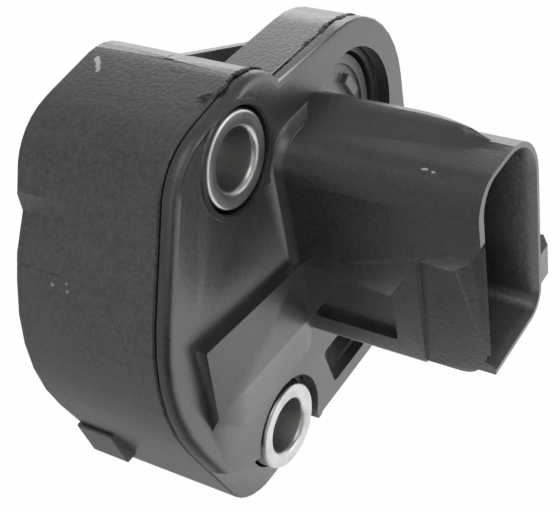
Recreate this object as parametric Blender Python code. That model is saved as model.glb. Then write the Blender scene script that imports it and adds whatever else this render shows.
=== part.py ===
"""Throttle position sensor: a round drum with two bushed ears, a side lobe and a three-way plug socket.

The mounting face lies in the plane X = 0 and the rotor turns about the X axis. +X points out of
the plug socket, +Z runs up the line through the two bushings, and +Y points to the side lobe.
All sizes are in metres.
"""

import math

import bmesh
import bpy
from mathutils import Matrix, Vector

# Driving sizes of the two mouldings
BODY_DEPTH = 0.0160
COVER_THICKNESS = 0.0012
SEAM_GAP = 0.0003
FIT_GAP = 0.0003
HALF_WIDTH = 0.0138
FLANK_CORNER_Y = 0.0154
FLANK_RADIUS = 0.0190
EAR_REACH = 0.0209
EAR_HALF_WIDTH = 0.0067
LOWER_EAR_FAR_WIDTH = 0.0050
EAR_CORNER_RADIUS = 0.0062
SHELL_DRAFT = 0.0001
SHELL_EDGE = 0.0005
SHELL_FRONT_EDGE = 0.00015
FLOOR_THICKNESS = 0.0024
CHAMBER_WALL = 0.0014
CHAMBER_RADIUS = 0.0094
CHAMBER_HALF_HEIGHT = 0.0086
CHAMBER_CORNER = 0.0026

# Bushings in the ears
BUSHING_SPACING = 0.0306
BUSHING_RADIUS = 0.0042
BUSHING_BORE = 0.00265
BUSHING_EDGE = 0.0003
EAR_CUT_RADIUS = 0.0051

# Side lobe with its round tower and its cored window
LOBE_TOP_Z = 0.0180
LOBE_LOW_Z = -0.0186
LOBE_REACH = 0.0270
LOBE_DEPTH = 0.0051
LOBE_LOW_CORNER_Y = 0.0190
LOBE_TURN_Z = -0.0035
LOBE_WALL = 0.0014
LOBE_INNER_Y = 0.0040
LOBE_LOW_RADIUS = 0.0030
LOBE_TURN_RADIUS = 0.0070
TOWER_RADIUS = 0.0102
TOWER_RECESS_RADIUS = 0.0075
PLUG_RADIUS = 0.0066
PLUG_THICKNESS = 0.0014
PLUG_SEAT_DEPTH = 0.0019
PLUG_RIM = 0.0010
PLUG_DISH = 0.0004
PLUG_BOSS_RADIUS = 0.0024
PLUG_SLOT_WIDTH = 0.0008
PLUG_TAB_RADIUS = 0.0042
PLUG_TAB_LENGTH = 0.0026
PLUG_TAB_WIDTH = 0.0010
PLUG_TAB_RISE = 0.0003
PLUG_TAB_ANGLES = (math.radians(30.0), math.radians(150.0), math.radians(270.0))
WINDOW_WALL = 0.0018
WINDOW_HEIGHT = 0.0048
WINDOW_NEAR_Y = 0.0071
WINDOW_FAR_Y = 0.0165
WINDOW_SLANT = 0.0011
GUSSET_THICKNESS = 0.0008
GUSSET_FRONT = 0.0080
GUSSET_TOP_Z = 0.0202
GUSSET_FAR_Z = 0.0158
GUSSET_NEAR_Y = 0.0040
GUSSET_LEAN = 0.0007
GUSSET_RIB_ROOT = 0.0040
GUSSET_RIB_HALF = 0.0010

# Raised pad on the cover
PAD_HEIGHT = 0.0011
COVER_RIM_RADIUS = 0.0008
PAD_NEAR_Y = -0.0099
PAD_MIDDLE_Y = -0.0058
PAD_TOP_Z = 0.0031
PAD_TOP_FALL = 0.0018
PAD_FLAT_END_Z = -0.0040
PAD_RAMP_END_Z = -0.0096
PAD_NEAR_RAMP_END_Z = -0.0060
PAD_NEAR_SPREAD = 0.0004
BUSHING_PAD_RADIUS = 0.0052
BUSHING_PAD_HEIGHT = 0.0002
COVER_CUT_RADIUS = 0.0154
COVER_CUT_ANGLES = (math.radians(205.0), math.radians(256.0))
COVER_CUT_FAR_Y = 0.0046

# Plug socket
SOCKET_LENGTH = 0.0187
SOCKET_WIDTH = 0.0111
SOCKET_HEIGHT = 0.0203
SOCKET_NEAR_Y = 0.0048
SOCKET_LEAN = 0.0005
SOCKET_BOTTOM_Z = -0.0066
SOCKET_WALL = 0.00095
SOCKET_INNER_NEAR_Y = 0.00575
SOCKET_INNER_RADII = (0.0020, 0.0006, 0.0013, 0.0046)
SOCKET_DEPTH = 0.0132
SOCKET_CORNER_RADII = (0.0030, 0.0004, 0.0023, 0.0055)
MOUTH_LEAD_IN = 0.0005
MOUTH_LEAD_LENGTH = 0.0009
MOUTH_CUT_LENGTH = 0.0029
MOUTH_CUT_HEIGHT = 0.0028
ROOT_FLARE = 0.0012
RIDGE_RISE = 0.0007
RIDGE_NEAR_Y = 0.0090
RIDGE_FAR_Y = 0.0137
RIDGE_STRAIGHT = 0.0090
RIDGE_LENGTH = 0.0165
RIDGE_NOSE_Y = 0.0116
RIDGE_TOP_NEAR_Y = 0.0110
RIDGE_TOP_FAR_Y = 0.0122
RIDGE_TOP_LENGTH = 0.0148
RIDGE_DEPTH = 0.0026
SIDE_RELIEF = 0.00045
RELIEF_START = 0.0126
RELIEF_TOP_Z = 0.0055
RELIEF_RISE = 0.0050
POCKET_START = 0.0014
POCKET_END = 0.0100
POCKET_TOP_Z = 0.0005
POCKET_BOTTOM_Z = -0.0046
POCKET_SLANT = 0.0036
POCKET_DEPTH = 0.0007
LOCK_WIDTH = 0.0033
LOCK_LENGTH = 0.0036
LOCK_HEIGHT = 0.0030
LOCK_Z = -0.0027

# Terminals
TERMINAL_PITCH = 0.0050
TERMINAL_WIDTH = 0.0016
TERMINAL_THICKNESS = 0.00064
TERMINAL_RECESS = 0.0040
TERMINAL_FOOT_Y = 0.0060
TERMINAL_FOOT_Z = 0.0015
TERMINAL_FOOT_PITCH = 0.0030
TERMINAL_FOOT_WIDTH = 0.0010
TERMINAL_RUN_HEIGHT = 0.0010

# Rotor and its bearing
HUB_RADIUS = 0.0050
HUB_START = 0.0006
SHAFT_BORE = 0.0032
SHAFT_FLAT = 0.0024
INSERT_WALL = 0.0006
RUNNING_GAP = 0.00015
BUSH_WALL = 0.0010
BUSH_FLANGE_RADIUS = 0.0070
BUSH_FLANGE_THICKNESS = 0.0005
WASHER_THICKNESS = 0.0004
WASHER_RADIUS = 0.0062
ROTOR_FLANGE_RADIUS = 0.0084
ROTOR_FLANGE_THICKNESS = 0.0010
SPINDLE_RADIUS = 0.0030
CARRIER_RADIUS = 0.0082
CARRIER_THICKNESS = 0.0010
RING_GROOVE_DEPTH = 0.0007
RING_THICKNESS = 0.0006
RING_WIDTH = 0.0014
SEAL_OUTER_RADIUS = 0.0090
SEAL_WIDTH = 0.0014
SEAL_DEPTH = 0.0011
SPRING_WIRE = 0.00055
SPRING_TURNS = 2.6
SPRING_PITCH = 0.00085

# Element board
BOARD_THICKNESS = 0.0008
LIP_WALL = 0.0009
LIP_LENGTH = 0.0014
TRACK_THICKNESS = 0.00015
OUTER_TRACK_RADIUS = 0.0060
INNER_TRACK_RADIUS = 0.0041
TRACK_WIDTH = 0.0014
TRACK_SWEEP = math.radians(200.0)
BRUSH_STRIP = 0.0002
BRUSH_WIDTH = 0.0011
BRUSH_FOOT = 0.0030
BRUSH_BEND = 0.0002
BRUSH_TIP = 0.0004
BRUSH_SLIT = 0.00012
BRUSH_SLIT_START = 0.0008

# Small marks on the drum's back rim
NOTCH_LENGTH = 0.0053
LUG_LENGTH = 0.0040
NOTCH_TOP_Z = 0.0146
NOTCH_FLOOR_Z = 0.0125
NOTCH_END_Z = 0.0088
NOTCH_DEPTH = 0.0010
LUG_TOP_Z = -0.0112
LUG_BOTTOM_Z = -0.0157
LUG_REACH = 0.0012

# Facets and what a cutting shape reaches past the surface
CUT_MARGIN = 0.0010
ARC_STEP = math.radians(10.0)
ROUND_SEGMENTS = 40
SMALL_SEGMENTS = 24

# Places worked out from the driving sizes
COVER_BACK = BODY_DEPTH - COVER_THICKNESS
SHELL_FRONT = COVER_BACK - SEAM_GAP
BUSHING_Z = BUSHING_SPACING / 2
TOWER_CENTRE = (LOBE_REACH - TOWER_RADIUS, LOBE_TOP_Z - TOWER_RADIUS)
LOBE_BACK = SHELL_FRONT - LOBE_DEPTH
MOUTH_X = BODY_DEPTH + SOCKET_LENGTH
SOCKET_FAR_Y = SOCKET_NEAR_Y + SOCKET_WIDTH
SOCKET_TOP_Z = SOCKET_BOTTOM_Z + SOCKET_HEIGHT
SOCKET_MIDDLE_Y = (SOCKET_NEAR_Y + SOCKET_FAR_Y) / 2
SOCKET_MIDDLE_Z = (SOCKET_BOTTOM_Z + SOCKET_TOP_Z) / 2
SOCKET_FLOOR_X = MOUTH_X - SOCKET_DEPTH
BUSH_INNER = HUB_RADIUS + RUNNING_GAP
BUSH_OUTER = BUSH_INNER + BUSH_WALL
FLOOR_BORE = BUSH_OUTER + RUNNING_GAP
FLANGE_SEAT_X = FLOOR_THICKNESS + FIT_GAP
WASHER_X = FLANGE_SEAT_X + BUSH_FLANGE_THICKNESS + RUNNING_GAP
ROTOR_FLANGE_X = WASHER_X + WASHER_THICKNESS + RUNNING_GAP + SPRING_TURNS * SPRING_PITCH
CARRIER_X = ROTOR_FLANGE_X + ROTOR_FLANGE_THICKNESS + RUNNING_GAP
BOARD_FRONT = COVER_BACK - FIT_GAP - 2 * BOARD_THICKNESS
BOARD_BACK = BOARD_FRONT - BOARD_THICKNESS
TRACK_BACK = BOARD_BACK - TRACK_THICKNESS - RUNNING_GAP


def clear_scene():
    """Remove every object that the file opened with."""
    for item in list(bpy.data.objects):
        bpy.data.objects.remove(item, do_unlink=True)


def material(name, colour, roughness, metallic=0.0):
    """A Principled material with a plain colour."""
    finish = bpy.data.materials.new(name)
    finish.use_nodes = True
    shader = finish.node_tree.nodes["Principled BSDF"]
    shader.inputs["Base Color"].default_value = (*colour, 1.0)
    shader.inputs["Roughness"].default_value = roughness
    shader.inputs["Metallic"].default_value = metallic
    finish.diffuse_color = (*colour, 1.0)
    return finish


def finish_mesh(name, mesh_data, finish):
    """Put a bmesh into a new object whose round sides shade smooth."""
    bmesh.ops.remove_doubles(mesh_data, verts=mesh_data.verts, dist=1e-7)
    bmesh.ops.recalc_face_normals(mesh_data, faces=mesh_data.faces)
    mesh = bpy.data.meshes.new(name)
    mesh_data.to_mesh(mesh)
    mesh_data.free()
    mesh.shade_smooth()
    mesh.set_sharp_from_angle(angle=math.radians(35.0))
    item = bpy.data.objects.new(name, mesh)
    bpy.context.collection.objects.link(item)
    if finish is not None:
        mesh.materials.append(finish)
    return item


def loft(name, sections, finish=None):
    """A closed skin through loops of points, each loop with as many points as the next."""
    shape = bmesh.new()
    loops = [[shape.verts.new(point) for point in section] for section in sections]
    for first, second in zip(loops, loops[1:]):
        count = len(first)
        for index in range(count):
            following = (index + 1) % count
            shape.faces.new((first[index], first[following], second[following], second[index]))
    shape.faces.new(loops[0])
    shape.faces.new(loops[-1])
    return finish_mesh(name, shape, finish)


def at_depth(outline, x):
    """The outline's (y, z) points as a loop in the plane at x."""
    return [(x, y, z) for y, z in outline]


def prism(name, outline, start_x, end_x, finish=None):
    """A straight extrusion of an outline along X."""
    return loft(name, [at_depth(outline, start_x), at_depth(outline, end_x)], finish)


def side_prism(name, outline, start_y, end_y, finish=None):
    """A straight extrusion along Y of an outline whose points are (x, z)."""
    return loft(name, [[(x, y, z) for x, z in outline] for y in (start_y, end_y)], finish)


def rounded(corners):
    """An outline through corners (y, z, radius), each corner turned by an arc of its radius."""
    points = []
    count = len(corners)
    for index, (y, z, radius) in enumerate(corners):
        corner = Vector((y, z))
        before = (Vector(corners[index - 1][:2]) - corner).normalized()
        after = (Vector(corners[(index + 1) % count][:2]) - corner).normalized()
        half = before.angle(after) / 2
        if radius <= 0:
            points.append((y, z))
            continue
        reach = radius / math.tan(half)
        centre = corner + (before + after).normalized() * (radius / math.sin(half))
        start = corner + before * reach - centre
        turn = math.pi - 2 * half
        if before.x * after.y - before.y * after.x > 0:
            turn = -turn
        steps = max(2, math.ceil(abs(turn) / ARC_STEP))
        for step in range(steps + 1):
            angle = turn * step / steps
            spun = Matrix.Rotation(angle, 2) @ start
            points.append((centre.x + spun.x, centre.y + spun.y))
    return points


def inset(outline, distance):
    """The outline moved inwards by a distance, point by point along its normals."""
    count = len(outline)
    area = sum(
        outline[i][0] * outline[(i + 1) % count][1] - outline[(i + 1) % count][0] * outline[i][1]
        for i in range(count)
    )
    side = 1.0 if area > 0 else -1.0
    moved = []
    for index in range(count):
        before = Vector(outline[index - 1])
        here = Vector(outline[index])
        after = Vector(outline[(index + 1) % count])
        first = (here - before).normalized()
        second = (after - here).normalized()
        normal = Vector((-first.y - second.y, first.x + second.x)).normalized() * side
        stretch = max(0.5, normal.dot(Vector((-first.y, first.x)) * side))
        moved.append(tuple(here + normal * (distance / stretch)))
    return moved


def circle(radius, centre=(0.0, 0.0), segments=ROUND_SEGMENTS):
    """A round outline about a centre."""
    return [
        (
            centre[0] + radius * math.cos(2 * math.pi * step / segments),
            centre[1] + radius * math.sin(2 * math.pi * step / segments),
        )
        for step in range(segments)
    ]


def turned(name, profile, centre=(0.0, 0.0), finish=None, segments=ROUND_SEGMENTS):
    """A ring turned about an axis along X: the profile is a closed loop of (x, radius)."""
    shape = bmesh.new()
    rings = []
    for step in range(segments):
        angle = 2 * math.pi * step / segments
        rings.append(
            [
                shape.verts.new(
                    (x, centre[0] + radius * math.cos(angle), centre[1] + radius * math.sin(angle))
                )
                for x, radius in profile
            ]
        )
    count = len(profile)
    for step in range(segments):
        here = rings[step]
        there = rings[(step + 1) % segments]
        for index in range(count):
            following = (index + 1) % count
            shape.faces.new((here[index], here[following], there[following], there[index]))
    return finish_mesh(name, shape, finish)


def hide(item):
    """Mark an object as a helper that is not one of the sensor's pieces."""
    item.hide_render = True
    item.display_type = "WIRE"


def combine(target, other, operation):
    """Cut from, or add to, a piece with a live Boolean."""
    hide(other)
    step = target.modifiers.new(other.name, "BOOLEAN")
    step.operation = operation
    step.solver = "EXACT"
    step.object = other


def cut(target, other):
    """Take the other shape's volume away from the target."""
    combine(target, other, "DIFFERENCE")


def join(target, other):
    """Add the other shape's volume to the target."""
    combine(target, other, "UNION")


def drum_outline():
    """The round drum with its straight tangents to the two flat-topped ears."""
    ear, flank, corner = EAR_HALF_WIDTH, FLANK_CORNER_Y, EAR_CORNER_RADIUS
    return rounded(
        [
            (-ear, EAR_REACH, corner),
            (-flank, 0.0, FLANK_RADIUS),
            (-ear, -EAR_REACH, corner),
            (LOWER_EAR_FAR_WIDTH, -EAR_REACH, corner * 0.8),
            (flank, 0.0, FLANK_RADIUS),
            (ear, EAR_REACH, corner),
        ]
    )


def lobe_outline():
    """The side lobe: level top and bottom edges, the tower's arc and a slanted lower corner."""
    return rounded(
        [
            (LOBE_INNER_Y, LOBE_TOP_Z, 0.0),
            (LOBE_INNER_Y, LOBE_LOW_Z, 0.0),
            (LOBE_LOW_CORNER_Y, LOBE_LOW_Z, LOBE_LOW_RADIUS),
            (LOBE_REACH, LOBE_TURN_Z, LOBE_TURN_RADIUS),
            (LOBE_REACH, LOBE_TOP_Z, TOWER_RADIUS),
        ]
    )


def chamber_outline():
    """The hollow for the element board: wide across the drum, low enough to clear the ears."""
    half_width = HALF_WIDTH - CHAMBER_WALL
    low = CHAMBER_HALF_HEIGHT
    shoulder = half_width - 0.0028
    return rounded(
        [
            (-shoulder, low, CHAMBER_CORNER),
            (-half_width, 0.0, CHAMBER_RADIUS),
            (-shoulder, -low, CHAMBER_CORNER),
            (shoulder, -low, CHAMBER_CORNER),
            (half_width, 0.0, CHAMBER_RADIUS),
            (shoulder, low, CHAMBER_CORNER),
        ]
    )


def socket_outline(grow=0.0):
    """The plug socket's outer outline, grown or shrunk evenly."""
    near, far = SOCKET_NEAR_Y - grow, SOCKET_FAR_Y + grow
    top, bottom = SOCKET_TOP_Z + grow, SOCKET_BOTTOM_Z - grow
    radii = [max(0.0003, radius + grow) for radius in SOCKET_CORNER_RADII]
    return rounded(
        [
            (near - SOCKET_LEAN, top, radii[0]),
            (near, bottom, radii[1]),
            (far, bottom, radii[2]),
            (far, top, radii[3]),
        ]
    )


def mouth_outline(grow):
    """The hollow of the plug socket, grown evenly; its near wall is thick enough for the relief."""
    near, far = SOCKET_INNER_NEAR_Y - grow, SOCKET_FAR_Y - SOCKET_WALL + grow
    top, bottom = SOCKET_TOP_Z - SOCKET_WALL + grow, SOCKET_BOTTOM_Z + SOCKET_WALL - grow
    radii = [radius + grow for radius in SOCKET_INNER_RADII]
    return rounded(
        [(near, top, radii[0]), (near, bottom, radii[1]), (far, bottom, radii[2]), (far, top, radii[3])]
    )


def window_outline():
    """The cored window in the lobe's lower frame, with its slanted near end."""
    bottom = LOBE_LOW_Z + WINDOW_WALL
    top = bottom + WINDOW_HEIGHT
    return rounded(
        [
            (WINDOW_NEAR_Y, top, 0.0005),
            (WINDOW_NEAR_Y + WINDOW_SLANT, bottom, 0.0005),
            (WINDOW_FAR_Y, bottom, 0.0010),
            (WINDOW_FAR_Y + WINDOW_SLANT, top, 0.0010),
        ]
    )


def core_outline():
    """The lobe's hollow on its back, one wall inside the lobe and clear of the drum."""
    wall = LOBE_WALL
    near = HALF_WIDTH + wall
    top = TOWER_CENTRE[1] - PLUG_RADIUS - 2 * wall
    bottom = LOBE_LOW_Z + WINDOW_WALL + WINDOW_HEIGHT + wall
    return rounded(
        [
            (near, top, 0.0010),
            (near, bottom, 0.0010),
            (LOBE_LOW_CORNER_Y, bottom, 0.0010),
            (LOBE_REACH - wall, LOBE_TURN_Z, 0.0008),
            (LOBE_REACH - wall, top, 0.0008),
        ]
    )


def flank_y(z):
    """The near side's y on the drum at a height, on its straight tangent."""
    return -(FLANK_CORNER_Y - abs(z) * (FLANK_CORNER_Y - EAR_HALF_WIDTH) / EAR_REACH)


def build_drum_housing(plastic):
    """The shell: drum, ears, side lobe, gusset and the marks on its back rim."""
    outline = drum_outline()
    edge = SHELL_EDGE
    housing = loft(
        "drum_housing",
        [
            at_depth(inset(outline, edge / 2), 0.0),
            at_depth(outline, edge / 2),
            at_depth(inset(outline, SHELL_DRAFT), SHELL_FRONT - SHELL_FRONT_EDGE),
            at_depth(inset(outline, SHELL_DRAFT + SHELL_FRONT_EDGE), SHELL_FRONT),
        ],
        plastic,
    )
    join(housing, prism("lobe_body", inset(lobe_outline(), SHELL_DRAFT), LOBE_BACK, SHELL_FRONT))
    gusset = rounded(
        [
            (GUSSET_NEAR_Y, GUSSET_TOP_Z + GUSSET_LEAN, 0.0),
            (GUSSET_NEAR_Y, TOWER_CENTRE[1], 0.0),
            (TOWER_CENTRE[0], TOWER_CENTRE[1], 0.0),
            (TOWER_CENTRE[0] + GUSSET_THICKNESS, GUSSET_FAR_Z, GUSSET_THICKNESS),
            (GUSSET_NEAR_Y + 2 * GUSSET_LEAN, GUSSET_TOP_Z + GUSSET_LEAN / 2, GUSSET_LEAN / 2),
        ]
    )
    join(housing, prism("gusset", gusset, GUSSET_FRONT - GUSSET_THICKNESS, GUSSET_FRONT))
    post = rounded(
        [
            (HALF_WIDTH - GUSSET_RIB_ROOT, TOWER_CENTRE[1] + GUSSET_RIB_HALF, 0.0),
            (HALF_WIDTH - GUSSET_RIB_ROOT, TOWER_CENTRE[1] - GUSSET_RIB_HALF, 0.0),
            (TOWER_CENTRE[0], TOWER_CENTRE[1] - GUSSET_RIB_HALF, 0.0),
            (TOWER_CENTRE[0], TOWER_CENTRE[1] + GUSSET_RIB_HALF, 0.0),
        ]
    )
    join(housing, prism("gusset_rib", post, GUSSET_FRONT - GUSSET_THICKNESS, LOBE_BACK + GUSSET_RIB_HALF))
    lug = rounded(
        [
            (flank_y(LUG_TOP_Z) + 0.0015, LUG_TOP_Z, 0.0),
            (flank_y(LUG_TOP_Z) - 0.0004, LUG_TOP_Z, 0.0002),
            (flank_y(LUG_BOTTOM_Z) - LUG_REACH, LUG_BOTTOM_Z, 0.0003),
            (flank_y(LUG_BOTTOM_Z) + 0.0015, LUG_BOTTOM_Z, 0.0),
        ]
    )
    join(housing, prism("rim_lug", lug, 0.0, LUG_LENGTH))
    cut(housing, prism("chamber", chamber_outline(), FLOOR_THICKNESS, SHELL_FRONT + CUT_MARGIN))
    cut(housing, prism("round_chamber", circle(CHAMBER_RADIUS), FLOOR_THICKNESS, SHELL_FRONT + CUT_MARGIN))
    for name, height in (("upper", BUSHING_Z), ("lower", -BUSHING_Z)):
        hole = circle(BUSHING_RADIUS + FIT_GAP, (0.0, height))
        cut(housing, prism(name + "_bushing_hole", hole, -CUT_MARGIN, BODY_DEPTH + CUT_MARGIN))
    cut(housing, prism("floor_bore", circle(FLOOR_BORE), -CUT_MARGIN, FLOOR_THICKNESS + CUT_MARGIN))
    seal_groove = [
        (-CUT_MARGIN, SEAL_OUTER_RADIUS + FIT_GAP),
        (SEAL_DEPTH + FIT_GAP, SEAL_OUTER_RADIUS + FIT_GAP),
        (SEAL_DEPTH + FIT_GAP, SEAL_OUTER_RADIUS - SEAL_WIDTH - FIT_GAP),
        (-CUT_MARGIN, SEAL_OUTER_RADIUS - SEAL_WIDTH - FIT_GAP),
    ]
    cut(housing, turned("seal_groove", seal_groove))
    plug_seat = circle(PLUG_RADIUS + FIT_GAP, TOWER_CENTRE)
    seat_back = BODY_DEPTH - PLUG_SEAT_DEPTH - PLUG_THICKNESS - FIT_GAP
    cut(housing, prism("plug_seat", plug_seat, seat_back, SHELL_FRONT + CUT_MARGIN))
    cut(housing, prism("lobe_core", core_outline(), LOBE_BACK - CUT_MARGIN, SHELL_FRONT - LOBE_WALL))
    cut(housing, prism("shell_window", window_outline(), LOBE_BACK - CUT_MARGIN, SHELL_FRONT + CUT_MARGIN))
    notch = [
        (flank_y(NOTCH_TOP_Z) - 0.0010, NOTCH_TOP_Z + 0.0004),
        (flank_y(NOTCH_TOP_Z) + 0.0001, NOTCH_TOP_Z),
        (flank_y(NOTCH_FLOOR_Z) + NOTCH_DEPTH, NOTCH_FLOOR_Z),
        (flank_y(NOTCH_END_Z) + 0.0001, NOTCH_END_Z),
        (flank_y(NOTCH_END_Z) - 0.0020, NOTCH_END_Z),
    ]
    cut(housing, prism("rim_notch", notch, -CUT_MARGIN, NOTCH_LENGTH))
    return housing


def leaf_outline(near, far, length, z):
    """A leaf at one height: two edges from the plate that bend together in a nose."""
    root = BODY_DEPTH - SEAM_GAP
    bend = BODY_DEPTH + RIDGE_STRAIGHT
    nose = BODY_DEPTH + length
    steps = 8
    points = [(root, far, z)]
    for edge, order, power in ((far, range(steps), 0.8), (near, range(steps, -1, -1), 0.5)):
        for step in order:
            share = abs(math.cos(math.pi / 2 * step / steps)) ** power if step < steps else 0.0
            points.append((bend + (nose - bend) * step / steps, RIDGE_NOSE_Y + (edge - RIDGE_NOSE_Y) * share, z))
    points.append((root, near, z))
    return points


def build_socket_shapes():
    """The plug socket's solid: flared root, straight shroud, the ridge along its top, lock ramp."""
    root = loft(
        "socket_root",
        [
            at_depth(socket_outline(ROOT_FLARE * spread), BODY_DEPTH - 0.0002 + ROOT_FLARE * rise)
            for spread, rise in (
                (1.0, 0.0),
                (0.62, 0.10),
                (0.30, 0.34),
                (0.08, 0.70),
                (0.0, 1.0),
            )
        ],
    )
    flare_trim = side_prism(
        "flare_trim",
        [
            (COVER_BACK, SOCKET_BOTTOM_Z - 2 * ROOT_FLARE),
            (BODY_DEPTH + 2 * ROOT_FLARE, SOCKET_BOTTOM_Z - 2 * ROOT_FLARE),
            (BODY_DEPTH + 2 * ROOT_FLARE, SOCKET_BOTTOM_Z + ROOT_FLARE / 8),
            (COVER_BACK, SOCKET_BOTTOM_Z + ROOT_FLARE / 8),
        ],
        0.0,
        SOCKET_FAR_Y + SOCKET_WIDTH,
    )
    cut(root, flare_trim)
    shroud = prism("shroud", socket_outline(), COVER_BACK, MOUTH_X)
    ridge = loft(
        "ridge",
        [
            leaf_outline(RIDGE_NEAR_Y, RIDGE_FAR_Y, RIDGE_LENGTH, SOCKET_TOP_Z - RIDGE_DEPTH),
            leaf_outline(RIDGE_NEAR_Y, RIDGE_FAR_Y, RIDGE_LENGTH, SOCKET_TOP_Z - SOCKET_WALL / 8),
            leaf_outline(RIDGE_TOP_NEAR_Y, RIDGE_TOP_FAR_Y, RIDGE_TOP_LENGTH, SOCKET_TOP_Z + RIDGE_RISE),
        ],
    )
    lock_x = MOUTH_X - 0.0001
    lock = loft(
        "lock_ramp",
        [
            [
                (lock_x - LOCK_LENGTH, SOCKET_FAR_Y - 0.0003, z),
                (lock_x, SOCKET_FAR_Y - 0.0003, z),
                (lock_x, SOCKET_FAR_Y + LOCK_HEIGHT * 0.60, z),
                (lock_x - LOCK_LENGTH * 0.25, SOCKET_FAR_Y + LOCK_HEIGHT, z),
                (lock_x - LOCK_LENGTH, SOCKET_FAR_Y + LOCK_HEIGHT * 0.8, z),
            ]
            for z in (LOCK_Z - LOCK_WIDTH / 2, LOCK_Z + LOCK_WIDTH / 2)
        ],
    )
    return root, shroud, ridge, lock


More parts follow.
